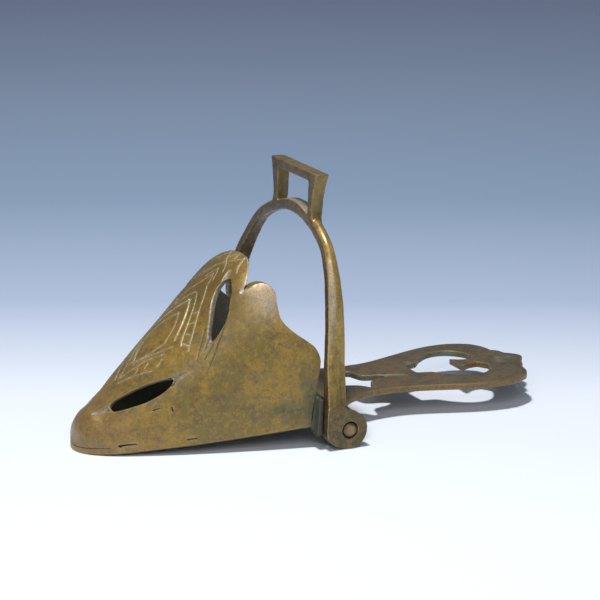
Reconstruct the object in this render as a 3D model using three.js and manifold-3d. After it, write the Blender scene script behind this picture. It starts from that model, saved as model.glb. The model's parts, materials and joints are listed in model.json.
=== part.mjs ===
// Shoe stirrup with a hinged bow, cast in brass. Millimetres, +Z up.
// X runs from the toe (-X) to the heel (+X), Y from the near side (-Y) to the far side (+Y).
// Everything is laid out from the hinge: x = 0 is the hinge axis, z = 0 the ground.
import * as THREE from 'three';
import { mergeVertices } from 'three/addons/utils/BufferGeometryUtils.js';
import Module from 'manifold-3d';

// Clearances
const SEAM = 0.3;                 // between the hood and what it is brazed to
const PLAY = 0.3;                 // between parts that turn on each other

// Hinge
const EYE_RADIUS = 8.6;           // the eyes stand on the ground, so this is the pin's height too
const SHANK_RADIUS = 3;
const HEAD_RADIUS = 3.9;          // domed end of the pin, in the eye's recess
const HEAD_DEPTH = 1.2;
const DOME_RISE = 0.6;
const END_CHAMFER = 0.5;          // on the pin's inner end, flush with the cheek's inside
const BOSS_STAND = 2;             // how far the cheek's round boss stands out to meet the eye

// Sole
const SOLE_TOP = 14.3;            // height of the flat plate's top
const SOLE_THICKNESS = 3;
const RAMP_START = 4.3;           // the sole slopes down to the toe from here
const TOE_FLAT = 6.2;             // length of the underside at the toe that is worn flat on the ground
const SHOE_HALF_WIDTH = 44.2;     // outside of the hood and the cheeks at the hinge
const SHOULDER = 3;               // the plate keeps its full width this far behind the hinge
const SHOULDER_FADE = 7.5;        // length over which it narrows to the waist
const WAIST_REACH = 35;
const WAIST_HALF_WIDTH = 20.2;
const HEEL_WIDEST = 88;
const HEEL_HALF_WIDTH = 32.7;
const HEEL_REACH = 117;           // tip of the heel's middle lobe

// Heel edge beyond its widest place: share of the way to the tip, share of the half width
const HEEL_EDGE = [[0.21, 0.985], [0.41, 0.917], [0.57, 0.82], [0.67, 0.66], [0.71, 0.5]];
const HEEL_NOTCH = [0.71, 0.428];
const HEEL_SIDE_LOBE = [[0.8, 0.364], [0.838, 0.22]];
const HEEL_TIP_LOBE = [[0.914, 0.162], [0.986, 0.06]];

// Openings in the plate, both cut a little off the centre line
const REAR_OPENING_REACH = 59.5;
const REAR_OPENING_LENGTH = 36.3;
const REAR_OPENING_HALF_WIDTH = 20;
const REAR_OPENING_OFFSET = 2.5;
const REAR_OPENING_NECK = [[0, 0.31], [0.19, 0.4]];
const REAR_OPENING_BOWL = [[0.31, 0.675], [0.47, 0.9], [0.62, 1], [0.76, 0.98], [0.87, 0.85], [0.95, 0.65],
  [1, 0.4]];
const REAR_OPENING_TAB = [[0.92, 0.16], [0.81, 0.18], [0.73, 0.25], [0.655, 0.355]];
const FRONT_OPENING_REACH = 18;
const FRONT_OPENING_LENGTH = 27;
const FRONT_OPENING_HALF_WIDTH = 13.7;
const FRONT_OPENING_OFFSET = -1.6;
const FRONT_OPENING_SIDE = [[0, 0.3], [0.12, 0.44], [0.31, 0.62], [0.44, 0.98]];
const FRONT_OPENING_POINT = [[0.5, 0.9], [0.57, 0.4], [0.7, 0.24], [0.86, 0.16]];

// Hood
const TOE_REACH = 110.2;          // the hood's nose, at the sole
const HOOD_SETBACK = 12.2;        // the hood's sides end about this far ahead of the hinge
const HOOD_RISE = 71.4;           // height of the ridge over the sole at the back
const HOOD_WALL = 2.5;
const NOSE_BULGE = 1.4;           // the nose leans out over the sole's tip
const NOSE_BULGE_HEIGHT = 10;
const NOSE_BULGE_SPREAD = 6;
const NOSE_BULGE_FADE = 10;
const SECTION_POWER_NOSE = 2.2;   // cross sections go from a round arch at the nose
const SECTION_POWER_RIM = 2.8;    // to a fuller, boxier one at the rim
const HOOD_OVERRUN = 1.05;        // the shell is made a little long, then the rim is cut

// Share of the hood's length, share of the half width
const HOOD_WIDTHS = [[0, 0], [0.031, 0.208], [0.061, 0.276], [0.102, 0.348], [0.184, 0.448], [0.306, 0.557],
  [0.459, 0.679], [0.612, 0.781], [0.765, 0.876], [0.918, 0.96], [1, 1], [1.06, 1.01]];
// Share of the hood's length, share of the rise
const HOOD_RIDGE = [[0, 0], [0.012, 0.032], [0.033, 0.132], [0.063, 0.19], [0.104, 0.214], [0.145, 0.255],
  [0.196, 0.31], [0.267, 0.391], [0.39, 0.532], [0.512, 0.665], [0.635, 0.809], [0.747, 0.924], [0.869, 0.976],
  [1.06, 1.005]];

// Rim in the side view: distance ahead of the hinge, share of the hood's height
const RIM_TONGUE = [[25.6, 0.98], [28.1, 0.935], [31.8, 0.894], [35.6, 0.834], [38.3, 0.804]];
const RIM_UPPER_LOBE = [[38.3, 0.804], [35.4, 0.82], [32.5, 0.838], [29.4, 0.845], [26.7, 0.833], [25.4, 0.8],
  [25.9, 0.748], [25.6, 0.684]];
const RIM_LOWER_LOBE = [[25.6, 0.684], [23.8, 0.642], [20, 0.595], [15.6, 0.557], [12.4, 0.519], [10.7, 0.467],
  [11.2, 0.405], [12.4, 0.343], [12.9, 0.295], [14.2, 0.205]];
const RIM_FOOT = 15.2;            // the rim's lower end, at the sole

// Almond slits: [share of the hood's length, degrees up from the near edge] at both ends, bulges either side
const LOWER_SLIT = { toe: [0.138, 57], heel: [0.395, 38.5], above: 4.8, below: 3.1 };
const UPPER_SLIT = { toe: [0.557, 44.5], heel: [0.737, 79.5], above: 4, below: 4.6 };
const FAR_UPPER_SLIT = { ...UPPER_SLIT, heel: [0.7, 73] };  // its mate on the far side is cut shorter
const SLIT_CUT_DEPTH = 9;

// Cheeks and stop ribs, in the side view from the pin and the sole's top
const CHEEK_THICKNESS = 4;
const CHEEK_FRONT_RISE = 11.5;
const CHEEK_STEP = [9.5, 8.5];
const CHEEK_TAIL = [0.5, 4.7];
const CHEEK_KEEL = [[12.3, 4], [10, 5.6], [7.8, 7.2]];
const RIB_STAND = 4.4;
const RIB_DEPTH = 2.6;
const RIB_RISE = 13.9;
const RIB_DROP = 2.6;

// Bow, upright, measured from the pin
const REST_LEAN = THREE.MathUtils.degToRad(2.73);
const LEG_FRONT = 11.2;           // the legs stand ahead of the pin
const LEG_REAR = 2.45;
const EYE_THICKNESS = 5.9;
const ARCH_HEIGHT = 88.2;         // inside of the arch's top
const ARCH_THICKNESS = 4.9;
const FOOT_HEIGHT = 10;           // top of the flat foot that carries the eye
const FOOT_CHIN = 1;              // where the leg's front edge starts to round under
const FOOT_BEVEL = 0.5;
const FAR_SHOULDER = 7;           // the hand-bent arch stands wider on the far side
const FAR_SHOULDER_HEIGHT = 54;
const FAR_SHOULDER_SPREAD = 23;
const FAR_BEND = 5.6;             // and its far leg is bent forward below the shoulder
const FAR_BEND_HEIGHT = 43.5;
const FAR_BEND_SPREAD = 17;
const FLAT_CROWN = 0.1;           // how much the section's outer corners drop at the foot
const FULL_CROWN = 0.28;          // and on the arch

// Share of the arch's height, share of the inner half width
const ARCH_INSIDE = [[-0.012, 1], [0.07, 0.998], [0.19, 0.963], [0.31, 0.927], [0.48, 0.893], [0.66, 0.83],
  [0.77, 0.77], [0.873, 0.658], [0.932, 0.495], [0.965, 0.345], [0.99, 0.18], [1, 0]];
// Share of the arch's height, distance of the rear face behind the leg's rear at the foot
const ARCH_REAR = [[0, 0], [0.3, 1.05], [0.5, 1.15], [0.66, 0.75], [0.8, -0.25], [0.92, -0.45], [1, 0.05]];
const ARCH_FRONT_TAPER = 3.4;     // the front face leans back this much from foot to top

// Strap loop on top of the arch
const LOOP_TOP = 109.1;
const LOOP_HALF_WIDTH = 23.1;
const LOOP_NECK_HALF_WIDTH = 19.6;
const LOOP_FOOT_DROP = 4.5;       // the loop's corners sink this far into the arch
const LOOP_FLARE = 6;             // and spread this much into a fillet there
const LOOP_FLARE_RISE = 4;        // the fillet ends this far above the arch's inside
const LOOP_SPREAD = 0.6;          // how much the sides have spread again half way up
const BAR_THICKNESS = 4.3;
const SLOT_HALF_WIDTH = 15.45;
const SLOT_CORNER_RISE = 2;       // the window's lower corners lie this far above the arch's inside
const LOOP_DEPTH_NECK = 6.2;
const LOOP_DEPTH_TOP = 7.1;
const LOOP_BEVEL = 0.5;

// Fineness
const HOOD_ROWS = 30;
const HOOD_COLUMNS = 48;
const ARCH_RINGS = 64;
const CURVE_STEPS = 8;
const ROUND_SIDES = 40;

// Sizes that follow from the ones above
const PIN_HEIGHT = EYE_RADIUS;
const BORE_RADIUS = SHANK_RADIUS + PLAY;
const RECESS_RADIUS = HEAD_RADIUS + PLAY;
const LUG_RADIUS = EYE_RADIUS - PLAY;
const BOSS_FACE = SHOE_HALF_WIDTH + BOSS_STAND;
const EYE_INNER = BOSS_FACE + PLAY;
const EYE_OUTER = EYE_INNER + EYE_THICKNESS;
const CHEEK_INNER = SHOE_HALF_WIDTH - CHEEK_THICKNESS;
const HOOD_LENGTH = TOE_REACH - HOOD_SETBACK;
const HOOD_TOP = SOLE_TOP + HOOD_RISE;
const TOE_TOUCH = TOE_REACH - TOE_FLAT;
const RAMP_SLOPE = (SOLE_TOP - SOLE_THICKNESS) / (RAMP_START + TOE_TOUCH);

const wasm = await Module();
wasm.setup();

// Smooth curve through stations [place, value], with no overshoot between them
function smooth(stations, place) {
  const last = stations.length - 1;
  const slope = (i) => (stations[i + 1][1] - stations[i][1]) / (stations[i + 1][0] - stations[i][0]);
  const tangent = (i) => {
    if (i === 0) return slope(0);
    if (i === last) return slope(last - 1);
    const before = stations[i][0] - stations[i - 1][0];
    const after = stations[i + 1][0] - stations[i][0];
    return (slope(i - 1) * after + slope(i) * before) / (before + after);
  };
  let i = 0;
  while (i < last - 1 && place > stations[i + 1][0]) i += 1;
  const span = stations[i + 1][0] - stations[i][0];
  const t = THREE.MathUtils.clamp((place - stations[i][0]) / span, 0, 1);
  return THREE.MathUtils.lerp(stations[i][1], stations[i + 1][1], t * t * (3 - 2 * t))
    + span * (tangent(i) * t * (1 - t) * (1 - t) - tangent(i + 1) * t * t * (1 - t));
}

// The same, over the square root of the place, for curves that start blunt
function smoothBlunt(stations, place) {
  return smooth(stations.map(([at, value]) => [Math.sqrt(at), value]), Math.sqrt(place));
}

// Bell curve, 1 at its centre
function bell(place, centre, spread) {
  return Math.exp(-(((place - centre) / spread) ** 2));
}

// Turns a closed geometry into a solid, on the far side if mirrored
function solidOf(geometry, mirrored = false) {
  const bare = geometry.clone();
  bare.deleteAttribute('normal');
  bare.deleteAttribute('uv');
  const merged = mergeVertices(bare);
  const vertProperties = Float32Array.from(merged.attributes.position.array);
  const triVerts = Uint32Array.from(merged.index.array);
  if (mirrored) {
    for (let i = 1; i < vertProperties.length; i += 3) vertProperties[i] *= -1;
    for (let i = 0; i < triVerts.length; i += 3) {
      [triVerts[i], triVerts[i + 1]] = [triVerts[i + 1], triVerts[i]];
    }
  }
  return new wasm.Manifold(new wasm.Mesh({ numProp: 3, vertProperties, triVerts }));
}

function bothSides(geometry) {
  return solidOf(geometry).add(solidOf(geometry, true));
}

function meshOf(solid, name, material) {
  const { vertProperties, triVerts } = solid.getMesh();
  const geometry = new THREE.BufferGeometry();
  geometry.setAttribute('position', new THREE.BufferAttribute(Float32Array.from(vertProperties), 3));
  geometry.setIndex([...triVerts]);
  geometry.computeVertexNormals();
  const mesh = new THREE.Mesh(geometry, material);
  mesh.name = name;
  return mesh;
}

function extrude(shape, depth, bevel) {
  const geometry = new THREE.ExtrudeGeometry(shape, {
    depth: depth - 2 * bevel,
    bevelEnabled: bevel > 0,
    bevelThickness: bevel,
    bevelSize: bevel,
    bevelOffset: -bevel,
    bevelSegments: 1,
    curveSegments: CURVE_STEPS,
  });
  return geometry.translate(0, 0, bevel);
}

// Extrudes a side-view outline (x, z) between two places across the shoe
function extrudeAcross(shape, from, to, bevel = 0) {
  return extrude(shape, to - from, bevel).rotateX(Math.PI / 2).translate(0, to, 0);
}

// Extrudes a front-view outline (y, z) between two places along the shoe
function extrudeAlong(shape, from, to, bevel = 0) {
  const axes = new THREE.Matrix4().makeBasis(
    new THREE.Vector3(0, 1, 0), new THREE.Vector3(0, 0, 1), new THREE.Vector3(1, 0, 0));
  return extrude(shape, to - from, bevel).applyMatrix4(axes).translate(from, 0, 0);
}

// Cylinder across the shoe between two places, on the pin's axis
function barrel(radius, from, to, height = 0) {
  return new THREE.CylinderGeometry(radius, radius, to - from, ROUND_SIDES)
    .translate(0, (from + to) / 2, height);
}

function splineOf(points) {
  return new THREE.SplineCurve(points.map(([x, y]) => new THREE.Vector2(x, y)));
}

function pointsAlong(points, stepsPerPoint = 4) {
  return splineOf(points).getPoints((points.length - 1) * stepsPerPoint);
}

// Closed outline from a half outline that runs from front to back, mirrored about an offset centre line
function mirroredShape(half, offset = 0) {
  const back = [...half].reverse();
  return new THREE.Shape([
    ...half.map((p) => new THREE.Vector2(p.x, offset - p.y)),
    ...back.map((p) => new THREE.Vector2(p.x, offset + p.y)),
  ]);
}

function soleTopAt(x) {
  return SOLE_TOP - RAMP_SLOPE * Math.max(0, RAMP_START - x);
}

// Half width of the hood, and of the sole under it, at a distance behind the nose
function hoodHalfWidth(distance) {
  return SHOE_HALF_WIDTH * smoothBlunt(HOOD_WIDTHS, distance / HOOD_LENGTH);
}

// Half of the sole's outline, from the toe to the heel's tip
function soleHalfOutline() {
  const toeSteps = 16;
  const half = [];
  for (let i = 0; i < toeSteps; i += 1) {
    const distance = HOOD_LENGTH * (i / toeSteps) ** 2;
    half.push(new THREE.Vector2(distance - TOE_REACH, hoodHalfWidth(distance)));
  }
  half.push(new THREE.Vector2(-HOOD_SETBACK, SHOE_HALF_WIDTH));
  const waistSteps = 12;
  for (let i = 0; i <= waistSteps; i += 1) {
    const x = THREE.MathUtils.lerp(SHOULDER, WAIST_REACH, (i / waistSteps) ** 1.5);
    const narrowing = Math.exp((SHOULDER - x) / SHOULDER_FADE);
    half.push(new THREE.Vector2(x, THREE.MathUtils.lerp(WAIST_HALF_WIDTH, SHOE_HALF_WIDTH, narrowing)));
  }
  const flareSteps = 10;
  for (let i = 1; i <= flareSteps; i += 1) {
    const x = THREE.MathUtils.lerp(WAIST_REACH, HEEL_WIDEST, i / flareSteps);
    const flare = THREE.MathUtils.smoothstep(x, WAIST_REACH, HEEL_WIDEST);
    half.push(new THREE.Vector2(x, THREE.MathUtils.lerp(WAIST_HALF_WIDTH, HEEL_HALF_WIDTH, flare)));
  }
  const place = ([along, out]) => [
    THREE.MathUtils.lerp(HEEL_WIDEST, HEEL_REACH, along), out * HEEL_HALF_WIDTH];
  const round = [[0, 1], ...HEEL_EDGE].map(place);
  const sideLobe = [HEEL_NOTCH, ...HEEL_SIDE_LOBE].map(place);
  const tipLobe = [HEEL_SIDE_LOBE[1], ...HEEL_TIP_LOBE].map(place);
  half.push(...pointsAlong(round, 3).slice(1));
  half.push(...pointsAlong(sideLobe, 3));
  half.push(...pointsAlong(tipLobe, 3).slice(1));
  half.push(new THREE.Vector2(HEEL_REACH, 0));
  return half;
}

// Outline of an opening in the plate, from runs of [share of its length, share of its half width]
function openingShape(runs, reach, length, halfWidth, offset) {
  const half = runs.flatMap((run) => pointsAlong(
    run.map(([along, out]) => [reach + along * length, out * halfWidth])));
  return mirroredShape(half, offset);
}

// Side view of the bent sole sheet, worn flat where it touches the ground
function soleSheet() {
  const sheet = new THREE.Shape();
  const beyond = SOLE_THICKNESS;
  const toe = -TOE_REACH - beyond;
  sheet.moveTo(toe, 0);
  sheet.lineTo(-TOE_TOUCH, 0);
  sheet.lineTo(RAMP_START, SOLE_TOP - SOLE_THICKNESS);
  sheet.lineTo(HEEL_REACH + beyond, SOLE_TOP - SOLE_THICKNESS);
  sheet.lineTo(HEEL_REACH + beyond, SOLE_TOP);
  sheet.lineTo(RAMP_START, SOLE_TOP);
  sheet.lineTo(toe, soleTopAt(toe));
  return extrudeAcross(sheet, -2 * SHOE_HALF_WIDTH, 2 * SHOE_HALF_WIDTH);
}

// Point of the hood's outside: distance behind the nose, angle up from the near edge
function hoodPoint(distance, angle) {
  const x = distance - TOE_REACH;
  const share = distance / HOOD_LENGTH;
  const power = 2 / THREE.MathUtils.lerp(SECTION_POWER_NOSE, SECTION_POWER_RIM, share);
  const sideways = Math.cos(angle);
  const upward = Math.max(0, Math.sin(angle));
  const y = -Math.sign(sideways) * hoodHalfWidth(distance) * Math.abs(sideways) ** power;
  const rise = HOOD_RISE * smoothBlunt(HOOD_RIDGE, share);
  const z = soleTopAt(x) + SEAM + rise * upward ** power;
  const bulge = NOSE_BULGE * bell(z, NOSE_BULGE_HEIGHT, NOSE_BULGE_SPREAD)
    * Math.exp(-distance / NOSE_BULGE_FADE);
  return new THREE.Vector3(x - bulge, y, z);
}

// Outward direction of the hood there
function hoodNormal(distance, angle) {
  const small = 0.01;
  const nearAngle = THREE.MathUtils.clamp(angle, small, Math.PI - small);
  const ahead = Math.max(distance - small, 0);
  const along = hoodPoint(distance + small, nearAngle).sub(hoodPoint(ahead, nearAngle));
  const around = hoodPoint(distance, nearAngle + small).sub(hoodPoint(distance, nearAngle - small));
  return along.cross(around).normalize();
}

// The shell before its rim and slits are cut: outside, inside, and the edges that join them
function hoodShell() {
  const length = HOOD_LENGTH * HOOD_OVERRUN;
  const points = [];
  const index = [];
  const put = (point) => points.push(point.x, point.y, point.z) / 3 - 1;
  const outside = [];
  const inside = [];
  for (let row = 1; row <= HOOD_ROWS; row += 1) {
    const distance = length * (row / HOOD_ROWS) ** 1.8;
    outside.push([]);
    inside.push([]);
    for (let column = 0; column <= HOOD_COLUMNS; column += 1) {
      const angle = Math.PI * column / HOOD_COLUMNS;
      const point = hoodPoint(distance, angle);
      const inner = point.clone().addScaledVector(hoodNormal(distance, angle), -HOOD_WALL);
      const floor = soleTopAt(inner.x) + SEAM;
      const onEdge = column === 0 || column === HOOD_COLUMNS;
      inner.z = onEdge ? floor : Math.max(inner.z, floor + column * (HOOD_COLUMNS - column) * 1e-4);
      outside[row - 1].push(put(point));
      inside[row - 1].push(put(inner));
    }
  }
  const nose = hoodPoint(0, 0);
  const outsideNose = put(nose);
  const insideNose = put(new THREE.Vector3(
    nose.x + HOOD_WALL, 0, soleTopAt(nose.x + HOOD_WALL) + SEAM));
  const quad = (a, b, c, d) => index.push(a, b, c, a, c, d);
  const cell = (wall, row, left, right) => quad(
    wall[row][left], wall[row + 1][left], wall[row + 1][right], wall[row][right]);
  for (let column = 0; column < HOOD_COLUMNS; column += 1) {
    index.push(outsideNose, outside[0][column], outside[0][column + 1]);
    index.push(insideNose, inside[0][column + 1], inside[0][column]);
    for (let row = 0; row < HOOD_ROWS - 1; row += 1) {
      cell(outside, row, column, column + 1);
      cell(inside, row, column + 1, column);
    }
    const end = HOOD_ROWS - 1;
    quad(outside[end][column], inside[end][column], inside[end][column + 1], outside[end][column + 1]);
  }
  index.push(outsideNose, insideNose, inside[0][0], outsideNose, inside[0][0], outside[0][0]);
  const far = HOOD_COLUMNS;
  index.push(outsideNose, inside[0][far], insideNose, outsideNose, outside[0][far], inside[0][far]);
  for (let row = 0; row < HOOD_ROWS - 1; row += 1) {
    quad(outside[row][0], inside[row][0], inside[row + 1][0], outside[row + 1][0]);
    quad(outside[row + 1][far], inside[row + 1][far], inside[row][far], outside[row][far]);
  }
  const geometry = new THREE.BufferGeometry();
  geometry.setAttribute('position', new THREE.Float32BufferAttribute(points, 3));
  geometry.setIndex(index);
  return geometry;
}

// What lies behind the rim in the side view: the tongue's edge, two lobes a side, the upright rear edge
function behindRim() {
  const place = ([ahead, height]) => [-ahead, height * HOOD_TOP];
  const tongue = pointsAlong(RIM_TONGUE.map(place));
  const upperLobe = pointsAlong(RIM_UPPER_LOBE.map(place));
  const lowerLobe = pointsAlong(RIM_LOWER_LOBE.map(place));
  const wayAbove = new THREE.Vector2(-RIM_TONGUE[0][0], 2 * HOOD_TOP);
  const foot = new THREE.Vector2(-RIM_FOOT, soleTopAt(-RIM_FOOT) - SOLE_THICKNESS);
  const shape = new THREE.Shape([
    wayAbove, ...tongue, ...upperLobe.slice(1), ...lowerLobe.slice(1), foot,
    new THREE.Vector2(HOOD_LENGTH, foot.y), new THREE.Vector2(HOOD_LENGTH, wayAbove.y),
  ]);
  return extrudeAcross(shape, -2 * SHOE_HALF_WIDTH, 2 * SHOE_HALF_WIDTH);
}

// Almond-shaped cutter, square to the hood's wall at the middle of the slit
function slitCutter({ toe, heel, above, below }) {
  const at = ([share, degrees]) => [share * HOOD_LENGTH, THREE.MathUtils.degToRad(degrees)];
  const start = hoodPoint(...at(toe));
  const end = hoodPoint(...at(heel));
  const middle = at([(toe[0] + heel[0]) / 2, (toe[1] + heel[1]) / 2]);
  const outward = hoodNormal(...middle);
  const along = end.clone().sub(start);
  const half = along.length() / 2;
  along.addScaledVector(outward, -along.dot(outward)).normalize();
  const across = outward.clone().cross(along);
  const almond = new THREE.Shape();
  almond.moveTo(-half, 0);
  almond.quadraticCurveTo(0, -2 * below, half, 0);
  almond.quadraticCurveTo(0, 2 * above, -half, 0);
  const centre = start.lerp(end, 0.5);
  const onWall = hoodPoint(...middle);
  centre.addScaledVector(outward, onWall.sub(centre).dot(outward));
  const placement = new THREE.Matrix4().makeBasis(along, across, outward).setPosition(centre);
  return extrude(almond, 2 * SLIT_CUT_DEPTH, 0).translate(0, 0, -SLIT_CUT_DEPTH).applyMatrix4(placement);
}

function toeHood() {
  return solidOf(hoodShell())
    .subtract(solidOf(behindRim()))
    .subtract(bothSides(slitCutter(LOWER_SLIT)))
    .subtract(solidOf(slitCutter(UPPER_SLIT)))
    .subtract(solidOf(slitCutter(FAR_UPPER_SLIT), true));
}

// The cheek's front edge runs along the hood's rear edge, one seam behind it
function cheekFrontAt(height) {
  const place = ([ahead, share]) => [share * HOOD_TOP, -ahead];
  const low = [soleTopAt(-RIM_FOOT) - SOLE_THICKNESS, -RIM_FOOT];
  const edge = [low, ...[...RIM_LOWER_LOBE].slice(-2).reverse().map(place)];
  return smooth(edge, height) + SEAM;
}

// Side view of the near cheek, from the hood's edge down round the pin and up to the plate
function cheekShape() {
  const shape = new THREE.Shape();
  const low = soleTopAt(-RIM_FOOT) - SOLE_THICKNESS;
  const high = SOLE_TOP + CHEEK_FRONT_RISE;
  shape.moveTo(cheekFrontAt(high), high);
  shape.lineTo(cheekFrontAt((low + high) / 2), (low + high) / 2);
  shape.lineTo(cheekFrontAt(low), low);
  for (const [ahead, below] of CHEEK_KEEL) shape.lineTo(-ahead, PIN_HEIGHT - below);
  shape.lineTo(-LUG_RADIUS / 2, PIN_HEIGHT - LUG_RADIUS * 0.866);
  shape.absarc(0, PIN_HEIGHT, LUG_RADIUS, -2 * Math.PI / 3, 0.7, false);
  shape.lineTo(CHEEK_TAIL[0], SOLE_TOP + CHEEK_TAIL[1]);
  shape.lineTo(-CHEEK_STEP[0], SOLE_TOP + CHEEK_STEP[1]);
  return shape;
}

// Side view of the rib that the leg's front leans against, one gap ahead of the leaning leg
function ribShape() {
  const sine = Math.sin(REST_LEAN);
  const cosine = Math.cos(REST_LEAN);
  const ahead = LEG_FRONT + PLAY;
  const legSide = (up) => new THREE.Vector2(
    -ahead * cosine + up * sine, PIN_HEIGHT + ahead * sine + up * cosine);
  const top = legSide(RIB_RISE);
  const bottom = legSide(-RIB_DROP);
  const hoodSide = (height) => Math.max(cheekFrontAt(height), -ahead - RIB_DEPTH);
  const facing = (point) => new THREE.Vector2(hoodSide(point.y), point.y);
  return new THREE.Shape([bottom, top, facing(top), facing(bottom)]);
}

function footPlate() {
  const outline = mirroredShape(soleHalfOutline().slice(1));
  const tall = extrude(outline, 2 * SOLE_TOP, 0);
  const rearOpening = openingShape([REAR_OPENING_NECK, REAR_OPENING_BOWL, REAR_OPENING_TAB],
    REAR_OPENING_REACH, REAR_OPENING_LENGTH, REAR_OPENING_HALF_WIDTH, REAR_OPENING_OFFSET);
  const frontOpening = openingShape([FRONT_OPENING_SIDE, [...FRONT_OPENING_POINT, [1, 0]]],
    FRONT_OPENING_REACH, FRONT_OPENING_LENGTH, FRONT_OPENING_HALF_WIDTH, FRONT_OPENING_OFFSET);
  const sole = solidOf(tall).intersect(solidOf(soleSheet()))
    .subtract(solidOf(extrude(rearOpening, 2 * SOLE_TOP, 0)))
    .subtract(solidOf(extrude(frontOpening, 2 * SOLE_TOP, 0)));
  const cheeks = bothSides(extrudeAcross(cheekShape(), -SHOE_HALF_WIDTH, -CHEEK_INNER));
  const bosses = bothSides(barrel(LUG_RADIUS, -BOSS_FACE, -CHEEK_INNER, PIN_HEIGHT));
  const ribs = bothSides(extrudeAcross(ribShape(), -SHOE_HALF_WIDTH - RIB_STAND, -SHOE_HALF_WIDTH + SEAM));
  const bores = bothSides(barrel(BORE_RADIUS, -EYE_INNER, -CHEEK_INNER + PLAY, PIN_HEIGHT));
  return sole.add(cheeks).add(bosses).add(ribs).subtract(bores);
}

// Ring of the bow's section round a place on the arch's inside: flat inside, rounded outside
function archRing(inside, outward, thickness, crown, front, rear) {
  const ring = [];
  const put = (out, along) => ring.push(new THREE.Vector3(
    THREE.MathUtils.lerp(front, rear, along),
    inside.x + outward.x * out * thickness,
    inside.y + outward.y * out * thickness));
  put(0.06, 0);
  put(0, 0.05);
  put(0, 0.95);
  put(0.06, 1);
  for (const along of [1, 0.88, 0.7, 0.5, 0.3, 0.12, 0]) {
    put(1 - crown * (1 - Math.sin(Math.PI * along)), along);
  }
  return ring;
}

// Inside curve of the arch from the near foot to the far foot, in the front view (y, z)
function archCurve() {
  const half = ARCH_INSIDE.map(([up, out]) => [-out * EYE_INNER, up * ARCH_HEIGHT]);
  const shoulder = (height) => FAR_SHOULDER * bell(height, FAR_SHOULDER_HEIGHT, FAR_SHOULDER_SPREAD);
  const far = half.slice(0, -1).reverse().map(([y, z]) => [shoulder(z) - y, z]);
  return splineOf([...half, ...far]);
}

function archLoft() {
  const curve = archCurve();
  const points = [];
  const index = [];
  let sides = 0;
  for (let i = 0; i <= ARCH_RINGS; i += 1) {
    const inside = curve.getPointAt(i / ARCH_RINGS);
    const heading = curve.getTangentAt(i / ARCH_RINGS);
    const outward = new THREE.Vector2(-heading.y, heading.x);
    const up = THREE.MathUtils.clamp(inside.y / ARCH_HEIGHT, 0, 1);
    const blend = THREE.MathUtils.smoothstep(up, 0.05, 0.4);
    const thickness = THREE.MathUtils.lerp(EYE_THICKNESS - FOOT_BEVEL / 2, ARCH_THICKNESS, blend);
    const crown = THREE.MathUtils.lerp(FLAT_CROWN, FULL_CROWN, blend);
    const bend = FAR_BEND * THREE.MathUtils.smoothstep(inside.x, 0, SLOT_HALF_WIDTH)
      * bell(inside.y, FAR_BEND_HEIGHT, FAR_BEND_SPREAD);
    const ring = archRing(inside, outward, thickness, crown,
      ARCH_FRONT_TAPER * up - LEG_FRONT - bend, smooth(ARCH_REAR, up) - LEG_REAR - bend);
    sides = ring.length;
    for (const point of ring) points.push(point.x, point.y, point.z);
  }
  for (let i = 0; i < ARCH_RINGS; i += 1) {
    for (let side = 0; side < sides; side += 1) {
      const next = (side + 1) % sides;
      const here = i * sides;
      const there = here + sides;
      index.push(here + side, there + side, there + next, here + side, there + next, here + next);
    }
  }
  const lastRing = ARCH_RINGS * sides;
  for (let side = 1; side < sides - 1; side += 1) {
    index.push(0, side, side + 1);
    index.push(lastRing, lastRing + side + 1, lastRing + side);
  }
  const geometry = new THREE.BufferGeometry();
  geometry.setAttribute('position', new THREE.Float32BufferAttribute(points, 3));
  geometry.setIndex(index);
  return geometry;
}

// Side view of the foot: the leg's end rounds under into the eye
function footShape() {
  const inset = FOOT_BEVEL / 4;
  const shape = new THREE.Shape();
  shape.moveTo(-LEG_FRONT + inset, FOOT_HEIGHT);
  shape.lineTo(-LEG_FRONT, -FOOT_CHIN);
  shape.absellipse(0, -FOOT_CHIN, LEG_FRONT, EYE_RADIUS - FOOT_CHIN, Math.PI, 1.5 * Math.PI, false, 0);
  const top = Math.asin((EYE_RADIUS - FOOT_CHIN) / EYE_RADIUS);
  shape.absarc(0, 0, EYE_RADIUS, -Math.PI / 2, top, false);
  shape.quadraticCurveTo(-LEG_REAR, EYE_RADIUS, -LEG_REAR - inset, FOOT_HEIGHT + FOOT_CHIN);
  return shape;
}

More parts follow.
